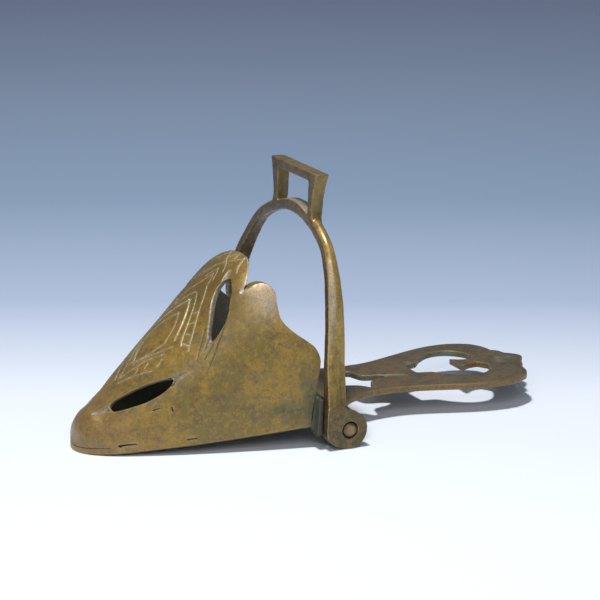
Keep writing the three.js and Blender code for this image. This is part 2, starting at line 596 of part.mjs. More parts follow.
// Strap loop: its front view met by its side view, so it is deeper at the bar than at the neck
function strapLoop() {
  const foot = ARCH_HEIGHT - LOOP_FOOT_DROP;
  const neck = ARCH_HEIGHT + LOOP_FLARE_RISE;
  const middle = (ARCH_HEIGHT + LOOP_TOP) / 2;
  const side = pointsAlong([
    [LOOP_NECK_HALF_WIDTH + LOOP_FLARE, foot], [LOOP_NECK_HALF_WIDTH + LOOP_FLARE / 4, (foot + neck) / 2],
    [LOOP_NECK_HALF_WIDTH, neck],
    [LOOP_NECK_HALF_WIDTH + LOOP_SPREAD, middle], [LOOP_HALF_WIDTH, LOOP_TOP]], 3);
  const shape = new THREE.Shape([
    ...side, ...[...side].reverse().map((p) => new THREE.Vector2(-p.x, p.y))]);
  const front = ARCH_FRONT_TAPER - LEG_FRONT;
  const frontView = extrudeAlong(shape, front, front + LOOP_DEPTH_TOP, LOOP_BEVEL);
  const slab = new THREE.Shape([
    new THREE.Vector2(front - LOOP_DEPTH_TOP, foot - LOOP_DEPTH_TOP),
    new THREE.Vector2(front + LOOP_DEPTH_NECK, foot - LOOP_DEPTH_TOP),
    new THREE.Vector2(front + LOOP_DEPTH_NECK, middle),
    new THREE.Vector2(front + LOOP_DEPTH_TOP, LOOP_TOP + LOOP_DEPTH_TOP),
    new THREE.Vector2(front - LOOP_DEPTH_TOP, LOOP_TOP + LOOP_DEPTH_TOP)]);
  const sideView = extrudeAcross(slab, -2 * LOOP_HALF_WIDTH, 2 * LOOP_HALF_WIDTH);
  return solidOf(frontView).intersect(solidOf(sideView));
}

// Window through the loop; its floor is the arch's rounded outside
function strapSlot() {
  const shape = new THREE.Shape();
  const top = LOOP_TOP - BAR_THICKNESS;
  const corner = ARCH_HEIGHT + SLOT_CORNER_RISE;
  const crest = ARCH_HEIGHT + ARCH_THICKNESS;
  shape.moveTo(-SLOT_HALF_WIDTH, corner);
  shape.quadraticCurveTo(0, 2 * crest - corner, SLOT_HALF_WIDTH, corner);
  shape.lineTo(SLOT_HALF_WIDTH, top);
  shape.lineTo(-SLOT_HALF_WIDTH, top);
  return extrudeAlong(shape, -2 * LEG_FRONT, 2 * LEG_FRONT);
}

// Space under the arch, which the loop's corners must not reach into
function archOpening() {
  const opening = new THREE.Shape(archCurve().getPoints(2 * ARCH_RINGS));
  return extrudeAlong(opening, -2 * LEG_FRONT, 2 * LEG_FRONT);
}

function stirrupBow() {
  const feet = bothSides(extrudeAcross(footShape(), -EYE_OUTER, -EYE_INNER, FOOT_BEVEL));
  const bores = bothSides(barrel(BORE_RADIUS, -EYE_OUTER - PLAY, -EYE_INNER + PLAY));
  const recesses = bothSides(barrel(RECESS_RADIUS, -EYE_OUTER - PLAY, -EYE_OUTER + HEAD_DEPTH));
  const loop = strapLoop().subtract(solidOf(archOpening()));
  return solidOf(archLoft()).add(loop)
    .subtract(solidOf(strapSlot()))
    .add(feet)
    .subtract(bores)
    .subtract(recesses);
}

// Profile of the near pin from its domed outer end to the end that is tight in the cheek
function pivotPin() {
  const innerEnd = -CHEEK_INNER;
  const headSeat = -EYE_OUTER + HEAD_DEPTH - PLAY;
  const headEdge = -EYE_OUTER;
  const profile = [[0, headEdge - DOME_RISE], [HEAD_RADIUS * 0.5, headEdge - DOME_RISE * 0.75],
    [HEAD_RADIUS * 0.87, headEdge - DOME_RISE * 0.25], [HEAD_RADIUS, headEdge], [HEAD_RADIUS, headSeat],
    [SHANK_RADIUS, headSeat], [SHANK_RADIUS, innerEnd - END_CHAMFER], [SHANK_RADIUS - END_CHAMFER, innerEnd],
    [0, innerEnd]];
  return new THREE.LatheGeometry(profile.map(([x, y]) => new THREE.Vector2(x, y)), ROUND_SIDES);
}

const castBrass = new THREE.MeshStandardMaterial({ color: 0x7d6433, roughness: 0.42, metalness: 0.9 });
const hoodBrass = new THREE.MeshStandardMaterial({ color: 0x85703c, roughness: 0.45, metalness: 0.9 });
const bowBrass = new THREE.MeshStandardMaterial({ color: 0x84693a, roughness: 0.36, metalness: 0.9 });
const pinBrass = new THREE.MeshStandardMaterial({ color: 0x8f6f3c, roughness: 0.4, metalness: 0.9 });

const bow = new THREE.Group();
bow.add(meshOf(stirrupBow(), 'stirrup_bow', bowBrass));
bow.position.z = PIN_HEIGHT;
bow.rotation.y = REST_LEAN;

const pins = new THREE.Group();
pins.add(meshOf(solidOf(pivotPin()), 'pivot_pin_near', pinBrass));
pins.add(meshOf(solidOf(pivotPin(), true), 'pivot_pin_far', pinBrass));
pins.position.z = PIN_HEIGHT;

const layout = new THREE.Group();
layout.add(meshOf(footPlate(), 'foot_plate', castBrass));
layout.add(meshOf(toeHood(), 'toe_hood', hoodBrass));
layout.add(bow, pins);

// The finished part's origin is the middle of its footprint, on the ground
const box = new THREE.Box3().setFromObject(layout, true);
layout.position.x = -(box.min.x + box.max.x) / 2;
layout.position.y = -(box.min.y + box.max.y) / 2;
layout.position.z = -box.min.z;

const shoeStirrup = new THREE.Group();
shoeStirrup.add(layout);

export default shoeStirrup;
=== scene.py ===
import json
import math
from collections import namedtuple

import bmesh
import bpy
import numpy as np
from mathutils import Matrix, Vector, kdtree


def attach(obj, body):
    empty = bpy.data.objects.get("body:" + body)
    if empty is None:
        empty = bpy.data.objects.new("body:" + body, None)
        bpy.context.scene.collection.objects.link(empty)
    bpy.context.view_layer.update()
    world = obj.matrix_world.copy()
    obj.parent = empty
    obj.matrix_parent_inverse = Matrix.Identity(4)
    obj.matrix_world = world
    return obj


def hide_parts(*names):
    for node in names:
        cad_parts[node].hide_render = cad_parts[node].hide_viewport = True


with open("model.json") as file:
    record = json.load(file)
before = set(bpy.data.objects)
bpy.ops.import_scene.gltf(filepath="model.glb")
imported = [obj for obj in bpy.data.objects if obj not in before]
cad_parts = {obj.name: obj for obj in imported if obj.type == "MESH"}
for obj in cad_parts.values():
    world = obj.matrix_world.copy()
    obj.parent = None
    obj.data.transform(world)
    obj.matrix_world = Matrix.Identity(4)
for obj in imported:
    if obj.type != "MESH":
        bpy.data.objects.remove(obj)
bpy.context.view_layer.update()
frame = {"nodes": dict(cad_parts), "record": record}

MM = 0.001
HINGE_X, _, HINGE_HEIGHT = frame["record"]["behaviour"]["joints"][0]["pos_m"]

# Fineness
VOXEL = 0.4
FINE_VOXEL = 0.24
MOST_TRIANGLES = 190_000
SHELL_ROWS = 170
SHELL_COLUMNS = 260
ARCH_RINGS = 260
SECTION_STEPS = 20
CURVE_STEPS = 8
SLOT_STEPS = 25
EYE_STEPS = 48
DOME_STEPS = 10
ROUND_SIDES = 96
TINY = 1e-6  # keeps a length from being 0
MARK_SPACING = 0.12
GRID_SPAN = 4000  # cells of the coarse grid each way
WAVE_DEPTH = 0.1
WAVES = 14
WAVE_LENGTHS = (0.7, 1.6)  # shortest and longest, as shares of the usual one

# Hinge
PIN_HEIGHT = HINGE_HEIGHT / MM
EYE_RADIUS = PIN_HEIGHT
PLAY = 0.3
SHANK_RADIUS = 3
HEAD_RADIUS = 3.25
HEAD_DEPTH = 1.2
HEAD_WEAR = 0.6  # how much the head's edge is worn down
DOME_RISE = 0.6
END_CHAMFER = 0.5
HEAD_SHADED = (1.2, 3)  # distance from the axis where the head darkens
BORE_RADIUS = SHANK_RADIUS + PLAY
RECESS_RADIUS = 3.75

# Sole
SEAM = 0.3
SOLE_TOP = 14.3
SOLE_THICKNESS = 3
RAMP_START = 4.3
SHOE_HALF_WIDTH = 44.2
CHEEK_INNER = SHOE_HALF_WIDTH - 4
EYE_INNER = SHOE_HALF_WIDTH + 2 + PLAY
EYE_THICKNESS = 5.9
EYE_OUTER = EYE_INNER + EYE_THICKNESS
TOE_REACH = 110.2
TOE_FLAT = 6.2
RAMP_SLOPE = (SOLE_TOP - SOLE_THICKNESS) / (RAMP_START + TOE_REACH - TOE_FLAT)

# Hood
HOOD_SETBACK = 12.2
HOOD_LENGTH = TOE_REACH - HOOD_SETBACK
HOOD_RISE = 71.4
HOOD_WALL = 2.5
HOOD_OVERRUN = 1.05
CUT_REACH = 1.3  # where the tint of the slits' walls ends, in wall thicknesses
ROW_CROWDING = 1.8  # rows stand closer towards the nose
INNER_FLOOR_RISE = 0.2
NOSE_BULGE = 1.4
NOSE_BULGE_HEIGHT = 10
NOSE_BULGE_SPREAD = 6
NOSE_BULGE_FADE = 10
# The cross-section's exponent, which makes it squarer towards the rim
NOSE_POWER = 2.2
RIM_POWER = 2.8

# Share of the hood's length, share of the half width
HOOD_WIDTHS = [(0, 0), (0.031, 0.208), (0.061, 0.276), (0.102, 0.348), (0.184, 0.448), (0.306, 0.557),
               (0.459, 0.679), (0.612, 0.781), (0.765, 0.876), (0.918, 0.96), (1, 1), (1.06, 1.01)]
# Share of the hood's length, share of the rise
HOOD_RIDGE = [(0, 0), (0.012, 0.032), (0.033, 0.132), (0.063, 0.19), (0.104, 0.214), (0.145, 0.255),
              (0.196, 0.31), (0.267, 0.391), (0.39, 0.532), (0.512, 0.665), (0.635, 0.809), (0.747, 0.924),
              (0.869, 0.976), (1.06, 1.005)]

# Rim in the side view: distance ahead of the hinge, height
RIM_TONGUE = [(25.6, 84), (28.1, 80.1), (31.8, 76.6), (35.6, 71.5), (38.3, 68.9)]
RIM_UPPER_LOBE = [(38.3, 68.9), (35.4, 70.3), (32.5, 71.8), (29.4, 72.4), (26.7, 71.4), (25.4, 68.6),
                  (25.9, 64.1), (25.6, 58.6)]
RIM_LOWER_LOBE = [(25.6, 58.6), (23.5, 55.2), (19.6, 51.5), (15.2, 48.2), (11.9, 45), (10.1, 40.2),
                  (10.6, 34.7), (11.9, 29.4), (12.5, 25.3), (14, 17.6)]
RIM_FOOT = 15.2

# The seam is filed flush: the hood's skin runs down over the sole's edge, to just above its underside
SKIRT_GAP = 0.4
SKIRT_DROP = SOLE_THICKNESS + SEAM - SKIRT_GAP
SKIRT_COVER = 0.45
GROUND_GAP = 0.1

# Slits in the hood: distance ahead of the hinge, degrees up from the near edge, right round the slit
LOWER_SLIT = [(96.4, 61), (95.7, 51.4), (93.4, 46.3), (89.6, 41.5), (84.5, 36.7), (80.4, 35), (76.3, 34.8),
              (73.3, 36.3), (71.7, 39.1), (72.4, 41.6), (73.9, 43.8), (78.3, 48.9), (83, 54.7), (88.4, 60.4),
              (92.5, 65.2), (95.2, 66)]
UPPER_SLIT = [(39.6, 75.5), (41.9, 65.2), (44, 60.2), (45.4, 55.3), (47.8, 50.6), (51.5, 47), (54.3, 46),
              (54.8, 51.9), (52.5, 60.7), (49.3, 71), (45.6, 77.3), (42.2, 78.6)]
# The far one ends lower, and a longer hollow runs on from it
FAR_UPPER_SLIT = [(45.2, 67), (45.5, 62.5), (46, 58.5), (46.9, 54.5), (48.6, 50.4), (51.5, 47), (54.3, 46),
                  (54.8, 51), (52.9, 58), (50.6, 63.8), (48.6, 67.4), (46.6, 68.6)]
SLIT_CUT_DEPTH = 9
SLIT_SLANT = (1.2, 2.8)  # how far the upper slits' cut leans back through the wall, at both ends

# Marks cut into the hood: half width and depth at both ends, then places it runs through, in the same terms
FINE = (0.25, 0.3, 0.22, 0.26)
FAINT = (0.45, 0.16, 0.3, 0.08)
CHASED = [
    (FINE, [(87.5, 90), (78, 78), (71.5, 66.5)]),
    (FINE, [(81.3, 90), (75.8, 82), (69.9, 76.4)]),
    (FINE, [(69.9, 76.4), (64, 82.5), (58.6, 91)]),
    (FINE, [(81.9, 94), (77, 81.7), (72.5, 73), (67.7, 66.9)]),
    ((0.55, 0.5, 0.4, 0.4), [(53.4, 90.5), (60, 80), (66.1, 70.5)]),
    (FINE, [(50.2, 89.7), (57, 78), (63.4, 66.1), (64.9, 60.4)]),
    (FINE, [(46.7, 87), (54.5, 74), (60.6, 59.9), (63.2, 52.3)]),
    (FINE, [(56.6, 78.5), (54.2, 74.5)]),
    (FINE, [(59.5, 73.5), (57.2, 69)]),
    (FINE, [(62.3, 68), (60, 62.5)]),
    (FINE, [(64.4, 62), (62.2, 56)]),
    (FINE, [(89.2, 86.4), (83.3, 73), (77.9, 61.4)]),
    (FINE, [(83.3, 75.5), (81.2, 78.5)]),
    (FINE, [(79.6, 70.5), (77.6, 73.5)]),
    (FINE, [(75.3, 61), (73, 64)]),
    (FINE, [(46.3, 92.6), (41.6, 89.8)]),
    (FINE, [(44.1, 93.3), (39.4, 89.8)]),
    (FINE, [(30.2, 95), (35.5, 90), (39.9, 85.4)]),
    (FINE, [(28.3, 89.8), (32.8, 91.4)]),
    ((0.45, 0.35, 0.3, 0.2), [(29.5, 85), (34, 80.5), (36.5, 76)]),
]
# Shallow lines below the upper slit
SCORED = [
    (FAINT, [(55.4, 57.2), (58.6, 49), (61.4, 40.8)]),
    (FAINT, [(54.1, 43.6), (58.3, 38.4)]),
    (FAINT, [(46.6, 52.6), (51.4, 42.9), (54.7, 36.3), (58.4, 29.6)]),
]
# Rough hollows that run on from the slits' ends
HOLLOWS = [
    ((2.3, 1.5, 0.4, 0.2), [(95.2, 60), (99.2, 65.5), (102.8, 68.7)]),
    ((2.3, 1.3, 0.4, 0.15), [(72.6, 39), (69.3, 38.8), (65.4, 38.4)]),
    ((1.3, 1.2, 0.4, 0.2), [(54.2, 48), (56, 45.6), (57.6, 43.2)]),
]
NEAR_HOLLOW = ((2.2, 1.6, 1.2, 0.3), [(42.6, 76), (40.2, 79.4), (38, 81.8)])
FAR_HOLLOW = ((2, 1.6, 1.2, 0.25), [(47, 67), (43.8, 77.5), (40.6, 85.5)])
# Rough chamfers worn on the tongue's outer edge beside the notch, and on the upper slits' edge to the toe,
# tinted whitish as a painted highlight
TONGUE_WEAR = (0.6, 0.1, 1, 0.2)
SLIT_WEAR = (0.45, 0.15, 0.5, 0.15)
# Verdigris creeping in from the cheek
STAINS = [((2, 1, 5, 1), [(31, 3), (24, 2), (18, 1.5)]), ((4, 1, 3, 1), [(14, 7), (15.5, 0.5)])]
# Cracks and pits in the braze and the wall, on the near side only
FLAWS = [
    ((0.5, 0.6, 0.3, 0.4), [(95.6, 1.2), (92.6, 1.4), (88.8, 0.9)]),
    ((0.8, 0.9, 0.8, 0.9), [(95.6, 1.2), (95, 1.2)]),
    ((0.3, 0.3, 0.25, 0.3), [(68, 0), (64, 0)]),
    ((0.35, 0.25, 0.2, 0.15), [(81.3, 25.1), (78.5, 23.8)]),
    ((0.35, 0.3, 0.3, 0.2), [(73.8, 20.3), (73.5, 17.3)]),
]
# Where a painted highlight sits on the lobe: distance ahead of the hinge, to the side, height, and how far
# round
RUBBED_LOBE = (28.2, 29, 66.5)
RUBBED_REACH = 8
# Where the seam still shows round the nose
NOSE_SEAM = [((0.35, 0.3, 0.3, 0.05), [(110.2, 0), (109, 0), (105, 0), (99, 0)])]
SEAM_SHADE = 0.7

# Which way the hood's skin faces, from 1 outwards to -1 inwards: where each change starts and ends
FACING_OUT = (0, 0.3)
FACING_IN = (0.2, 0.5)
FACING_ALONG = (0.55, 0.85)
CORE_RISE = 0.3  # height of the line that the skin faces away from, as a share of the rise
CORE_WEIGHTS = (0.45, 1.6, 0.35)  # towards the nose, away from the line, extra size of the sections
# Where the nose's tint, a reddish tone with a painted highlight, and the tongue's painted shade start and are
# full
NOSE_AHEAD = (80, 108)
UPPER_AHEAD = (33, 40)
UPPER_HEIGHT = (40, 72)

# Plate
# The cleft at the front opening's point, and crusts of verdigris: places behind the hinge, across
CLEFT = [((0.9, 0.9, 0.5, 0.4), [(40.6, -0.9), (44, -1.2), (48.3, -2.9), (52.4, -4.4)])]
CRUST = [((1.6, 1, 1.2, 1), [(63.3, 12.5), (62.4, 3)]),
         ((2, 1, 1.5, 1), [(102.5, -4), (106.1, 0.8), (111, -1)]),
         ((1.2, 1, 1.5, 1), [(44, -2), (52, -4.4)])]
FLAT_TOP = (0.3, 0.8)  # how far up the skin faces: where the cleft starts and is full
UPRIGHT = (0.25, 0.6)
OUTER_EDGE = (-0.1, 0.3)  # how far out a wall faces, against the walls of the openings
HEEL_END = (100, 110)  # from here to there all walls come to count as outer ones
BESIDE_CHEEK = 2
# Painted shade beside the cheeks, under the hood: how far ahead of the hinge it starts and is full
DARK_AHEAD = (4, 8)
HINGE_GREEN = 0.25
HEEL_OUTWARD = 0.6
DRAWN_IN_LENGTH = 2

# Bow, upright, measured from the pin
REST_LEAN = math.radians(2.73)
LEG_FRONT = 11.2
LEG_REAR = 2.45
ARCH_HEIGHT = 87.7
ARCH_THICKNESS = 5.4
FOOT_HEIGHT = 10
FOOT_CHIN = 1
FOOT_BACK = (0.4, 1.01)  # its rear corner, as shares of the leg's rear and the eye's radius
# The far half stands wider and its leg bends forward: by how much, height of the middle, spread
FAR_SHOULDER = (7, 54, 23)
FAR_BEND = (5.6, 43.5, 17)
FULL_CROWN = 0.28
SECTION_CHAMFER = (0.05, 0.06)  # of the inside edges, along and out
THICKNESS_CHANGE = (0.05, 0.4)  # where along the height it starts and ends
CROWN_CHANGE = (0.08, 0.4)
ARCH_INSIDE = [(-0.012, 1), (0.07, 0.998), (0.19, 0.963), (0.31, 0.927), (0.48, 0.893), (0.66, 0.83),
               (0.77, 0.77), (0.873, 0.658), (0.932, 0.495), (0.965, 0.345), (0.99, 0.18), (1, 0)]
ARCH_REAR = [(0, 0), (0.3, 1.05), (0.5, 1.15), (0.66, 0.75), (0.8, -0.25), (0.92, -0.45), (1, 0.05)]
ARCH_FRONT_TAPER = 3.4

# Painted shade and painted highlights of the bow: how full each shade is, and between which values it comes
# in, or goes for a BELOW
INSIDE_SHADE, INSIDE_FACING = 0.9, (0.3, 0.8)
FAR_SHADE, FAR_ACROSS = 0.6, (-30, 20)
LOOP_SHADE, LOOP_ABOVE = 0.4, (ARCH_HEIGHT - 4, ARCH_HEIGHT + 6)
EYE_SHADE, EYE_BELOW = 0.85, (FOOT_HEIGHT - 6, FOOT_HEIGHT + 24)
PIN_SHADE, PIN_ROUND = 0.9, (RECESS_RADIUS, RECESS_RADIUS + 0.8)
# Painted shade on faces turned to the toe
FRONT_FACING = (0.7, 0.95)
LOOP_FRONT_SHADE, LOOP_FRONT_ABOVE = 0.5, (ARCH_HEIGHT - 8, ARCH_HEIGHT + 4)
RUBBED_FACING = (-0.42, 0.88, 0.22)  # the way the painted highlight strip of a leg faces, sideways counted outwards
RUBBED_STRIP = (0.93, 0.99)
RUBBED_ABOVE = (32, 56)
RUBBED_BELOW = (70, 84)
# Where the painted highlight along the legs' front edges lies, and where it fades
EDGE_STRIP = (0.92, 0.99)
EDGE_BELOW = (45, 70)
CROWN_FACING = (0.6, 0.9)
CROWN_ABOVE = (ARCH_HEIGHT + 1, ARCH_HEIGHT + 3)
CROWN_BELOW = (ARCH_HEIGHT + ARCH_THICKNESS, ARCH_HEIGHT + 2 * ARCH_THICKNESS)
ARCH_TOP = (ARCH_HEIGHT - 1, ARCH_HEIGHT + 1)

# Strap loop on top of the arch
LOOP_TOP = 109.1
LOOP_HALF_WIDTH = 23.1
NECK_HALF_WIDTH = 19.6
LOOP_FOOT_DROP = 4.5
LOOP_FLARE = 6
LOOP_FLARE_RISE = 4
LOOP_SPREAD = 0.6
BAR_THICKNESS = 4.3
SLOT_HALF_WIDTH = 15.45
LOOP_DEPTH_FOOT = 4.6
LOOP_DEPTH_NECK = 6.2
LOOP_DEPTH_TOP = 7.1
SLOT_FLOOR_RISE = 2
# Where the extra wear starts and is full: by height, and by distance from the foot's top, where it ends
LOOP_WORN = (ARCH_HEIGHT - 14, ARCH_HEIGHT - 4)
FOOT_WORN = (1.5, 4)

# Materials
COAT = 0.3
COAT_ROUGHNESS = 0.34
BUMP = 0.4
BUMP_HEIGHT = 0.00012
DENT_WEIGHT = 1.5
VERDIGRIS = (0.115, 0.125, 0.07)
SOOT = (0.03, 0.024, 0.015)
WORN = (0.46, 0.32, 0.13)
STREAK_SHAPE = (1, 1, 0.12)  # drawn out upwards
CORNER = (0.49, 0.46)  # pointedness at which a hollow corner starts and is full
EDGE = (0.503, 0.527)
# How much hollow corners are darkened
CORNER_SOOT = 0.7
CORNER_GREEN = 0.4
CORNER_DULLING = 0.2
GLOSS_SPREAD = (-0.08, 0.12)
FLECK_SHARE, FLECK_LIGHT = 0.45, 1.35
SPECKLE_SHARE, SPECKLE_DARK = 0.45, 0.6
PIT_SHARE = 0.6
GRIT_DARK = 0.55
CRISP = (0.42, 0.62)
BROKEN = (0.44, 0.54)  # where the flecks break a mark up

# A random pattern: fineness, detail and roughness of its noise, value at which it starts and is full
Pattern = namedtuple("Pattern", "scale detail roughness start full", defaults=(0, 1))
CLOUDS = Pattern(50, 7, 0.7, 0.42, 0.58)
BLOTCHES = Pattern(170, 8, 0.72, 0.46, 0.64)
PATCHES = Pattern(120, 8, 0.75, 0.52, 0.6)
FLECKS = Pattern(420, 6, 0.75, 0.48, 0.62)
SPECKLE = Pattern(950, 4, 0.7, 0.5, 0.66)
STREAKS = Pattern(330, 5, 0.6, 0.5, 0.6)
PITS = Pattern(430, 3, 0.5, 0.7, 0.8)
SMEARS = Pattern(320, 5, 0.65, 0.35, 0.65)
GRIT = Pattern(2200, 3, 0.6, 0.42, 0.58)
GRAIN = Pattern(1100, 4, 0.6)
DENTS = Pattern(170, 3, 0.5)

# A piece's brass: its colours, roughness, how much of it is metal, and shares of the patina's parts
Brass = namedtuple("Brass", "gold olive brown gloss metal brown_share green_share worn_share streak_share",
                   defaults=(0.3, 0.7, 0.3, 0.4, 0.0))

# A vertex mark: what it tints the brass with, how much it dulls it, how strong and whole it is, how crisp
Mark = namedtuple("Mark", "attribute tint dulling strength whole crisp", defaults=(0.0, 1.0, 1.0, False))
HOOD_MARKS = [
    # Reddish-brown tone towards the nose, lightened as a painted highlight
    Mark("nose", (0.38, 0.225, 0.095), strength=0.65, whole=0.5),
    # Painted shade: the hood's upper part, towards the tongue, darker and more saturated
    Mark("upper", (0.2, 0.115, 0.015), strength=0.65, whole=0.6),
    Mark("verdigris", (0.075, 0.092, 0.05), dulling=0.1, strength=0.9, whole=0.4),
    # Painted highlight: a whitish sheen on the lobe
    Mark("rubbed", (0.56, 0.46, 0.36), strength=0.6, whole=0.8),
    Mark("scored", (0.12, 0.1, 0.065), dulling=0.1, whole=0.3, crisp=True),
    Mark("chased", (0.56, 0.5, 0.33), dulling=0.1, whole=0.4, crisp=True),
    Mark("rough_cut", (0.33, 0.285, 0.21), dulling=0.2, whole=0.4, crisp=True),
    # Worn rim, its whitish tint a painted highlight
    Mark("worn_rim", (0.5, 0.46, 0.39), dulling=0.15, whole=0.4, crisp=True),
    # Cracks, pits and the seam line round the nose
    Mark("dark", (0.015, 0.012, 0.01), dulling=0.2, crisp=True),
    Mark("inner", (0.17, 0.155, 0.09), dulling=0.2),
]
PLATE_MARKS = [
    Mark("worn_edge", (0.3, 0.18, 0.06), whole=0.4),
    # Painted shade on the plate beside the cheeks, in under the hood's rear
    Mark("dark", (0.03, 0.03, 0.02), dulling=0.2, whole=0.8),
    Mark("verdigris", (0.19, 0.22, 0.145), dulling=0.2, whole=0.3),
]
BOW_MARKS = [
    # Painted shade with a reddish-brown tone on faces turned to the toe and on the loop's front
    Mark("front_face", (0.16, 0.09, 0.04), strength=0.85, whole=0.6),
    # Painted shade inside the arch, round the pins, on the far half and the loop; darker on the eyes
    Mark("shaded", (0.05, 0.038, 0.02), dulling=0.1, whole=0.7),
    # Painted highlight: a whitish streak up each leg and on the arch's top
    Mark("rubbed", (0.7, 0.6, 0.46), strength=0.6, whole=0.7),
    # Painted highlight along the front edges of the legs
    Mark("bright_edge", (0.6, 0.44, 0.24), whole=0.5),
]
PIN_MARKS = [Mark("shaded", (0.07, 0.045, 0.02), dulling=0.1, whole=0.7)]

# Studio
FLOOR_SIZE = 12.0
CAMERA_TURN = math.radians(-26)
CAMERA_RISE = math.radians(15.11)
CAMERA_DISTANCE = 1.3
CAMERA_LENS = 172.9
CAMERA_CLIP = (0.05, 50)
LOOK_HEIGHT = 0.06
FRAME_SHIFT = (0.0030, -0.0175)
# Distance beyond the frame's origin along the view, colour of the paper there
FLOOR_FADE = [(-0.15, (0.89, 0.94, 0.97)), (0.03, (0.83, 0.88, 0.96)), (0.2, (0.46, 0.54, 0.7)),
              (0.43, (0.31, 0.41, 0.555)), (1.2, (0.32, 0.375, 0.51))]
SKY_LOW = (0.2, 0.24, 0.3)
SKY_HIGH = (0.07, 0.08, 0.1)
LIGHTS_AIM = (0, 0, 0.04)
# Name, place, width and height, watts
LIGHTS = [("top_light", (-0.25, -0.1, 1.43), (0.15, 0.15), 17.4),
          ("side_panel", (-0.5, -0.95, 0.85), (0.9, 0.7), 4.4)]


def smooth(stations, place):
    """Smooth curve through stations (place, value), with no overshoot between them."""
    at, value = np.array(stations, float).T
    place = np.asarray(place, float)
    gap = np.diff(at)
    slope = np.diff(value) / gap
    middle = (slope[:-1] * gap[1:] + slope[1:] * gap[:-1]) / (gap[:-1] + gap[1:])
    tangent = np.concatenate([slope[:1], middle, slope[-1:]])
    i = np.clip(np.searchsorted(at, place) - 1, 0, len(gap) - 1)
    t = np.clip((place - at[i]) / gap[i], 0, 1)
    ease = t * t * (3 - 2 * t)
    bend = tangent[i] * t * (1 - t) ** 2 - tangent[i + 1] * t * t * (1 - t)
    return value[i] + (value[i + 1] - value[i]) * ease + gap[i] * bend


def smooth_blunt(stations, place):
    """The same, over the square root of the place, for curves that start blunt."""
    return smooth([(math.sqrt(at), value) for at, value in stations], np.sqrt(place))


def fade(value, low, high):
    """0 below low, 1 above high, an even change between."""
    t = np.clip((value - low) / (high - low), 0, 1)
    return t * t * (3 - 2 * t)


def hump(place, rise, middle, spread):
    return rise * np.exp(-(((place - middle) / spread) ** 2))


def curve_through(points, steps=CURVE_STEPS):
    """Points along a curve that passes through the given ones."""
    p = np.array(points, float)
    before = np.concatenate([p[:1], p[:-2]])
    after = np.concatenate([p[2:], p[-1:]])
    start, end = p[:-1], p[1:]
    leave, arrive = (end - before) / 2, (after - start) / 2
    t = (np.arange(steps) / steps)[None, :, None]
    start, end, leave, arrive = (a[:, None, :] for a in (start, end, leave, arrive))
    runs = ((2 * t**3 - 3 * t**2 + 1) * start + (t**3 - 2 * t**2 + t) * leave
            + (3 * t**2 - 2 * t**3) * end + (t**3 - t**2) * arrive)
    return np.concatenate([runs.reshape(-1, p.shape[1]), p[-1:]])


def arc(centre, radii, start, end, steps=24):
    turn = np.linspace(start, end, steps)
    return np.stack([centre[0] + radii[0] * np.cos(turn), centre[1] + radii[1] * np.sin(turn)], axis=1)


# Solids


def placed(name, data):
    """Object of the data, put in the scene."""
    obj = bpy.data.objects.new(name, data)
    bpy.context.scene.collection.objects.link(obj)
    return obj


def solid(points, faces):
    """Object of a closed mesh, its faces turned outwards."""
    mesh = bpy.data.meshes.new("solid")
    mesh.from_pydata(np.asarray(points).tolist(), [], [list(face) for face in faces])
    bm = bmesh.new()
    bm.from_mesh(mesh)
    bmesh.ops.remove_doubles(bm, verts=bm.verts, dist=1e-5)
    bmesh.ops.recalc_face_normals(bm, faces=bm.faces)
    bm.to_mesh(mesh)
    bm.free()
    return placed("solid", mesh)


def ring_faces(rings, sides):
    """Faces between rings that follow each other, each of as many points."""
    return [(ring + i, ring + (i + 1) % sides, ring + sides + (i + 1) % sides, ring + sides + i)
            for ring in range(0, (rings - 1) * sides, sides) for i in range(sides)]


def prism(first, last):
    """Solid between two rings of the same number of points."""
    count = len(first)
    caps = [range(count), range(count, 2 * count)]
    return solid(np.concatenate([first, last]), ring_faces(2, count) + caps)


def prism_across(outline, start, end, axis=1):
    """Side-view outline (x, z) carried between two places across the shoe."""
    return prism(*(np.insert(np.asarray(outline, float), axis, place, axis=1) for place in (start, end)))


def prism_along(outline, start, end):
    """Front-view outline (y, z) carried between two places along the shoe."""
    return prism_across(outline, start, end, axis=0)


def barrel(radius, start, end):
    """Round bar on the pin's axis, measured from the pin."""
    return prism_across(arc((0, 0), (radius, radius), 0, 2 * math.pi, ROUND_SIDES + 1)[:-1], start, end)


def set_all(thing, settings):
    for key, value in settings.items():
        setattr(thing, key, value)


def modify(obj, kind, **settings):
    """Puts the result of a modifier in place of the object's mesh."""
    step = obj.modifiers.new(kind, kind)
    set_all(step, settings)
    graph = bpy.context.evaluated_depsgraph_get()
    done = bpy.data.meshes.new_from_object(obj.evaluated_get(graph))
    obj.modifiers.clear()
    old, obj.data = obj.data, done
    bpy.data.meshes.remove(old)


def combine(obj, other, operation):
    modify(obj, "BOOLEAN", operation=operation, solver="MANIFOLD", object=other)
    old = other.data
    bpy.data.objects.remove(other)
    bpy.data.meshes.remove(old)
    return obj


def mirrored(obj):
    """The solid moved to its mirror image on the far side."""
    move_points(obj, points_of(obj) * (1, -1, 1))
    obj.data.flip_normals()
    return obj


def both_sides(obj, tool, operation):
    """Combines with the near side's tool and with its mirror image."""
    far = placed("far", tool.data.copy())
    combine(obj, tool, operation)
    return combine(obj, mirrored(far), operation)


def vectors(rows, key):
    values = np.zeros(len(rows) * 3)
    rows.foreach_get(key, values)
    return values.reshape(-1, 3)


def points_of(obj):
    return vectors(obj.data.vertices, "co")


def normals_of(obj):
    return vectors(obj.data.vertex_normals, "vector")


def move_points(obj, points):
    obj.data.vertices.foreach_set("co", np.asarray(points, float).ravel())
    obj.data.update()


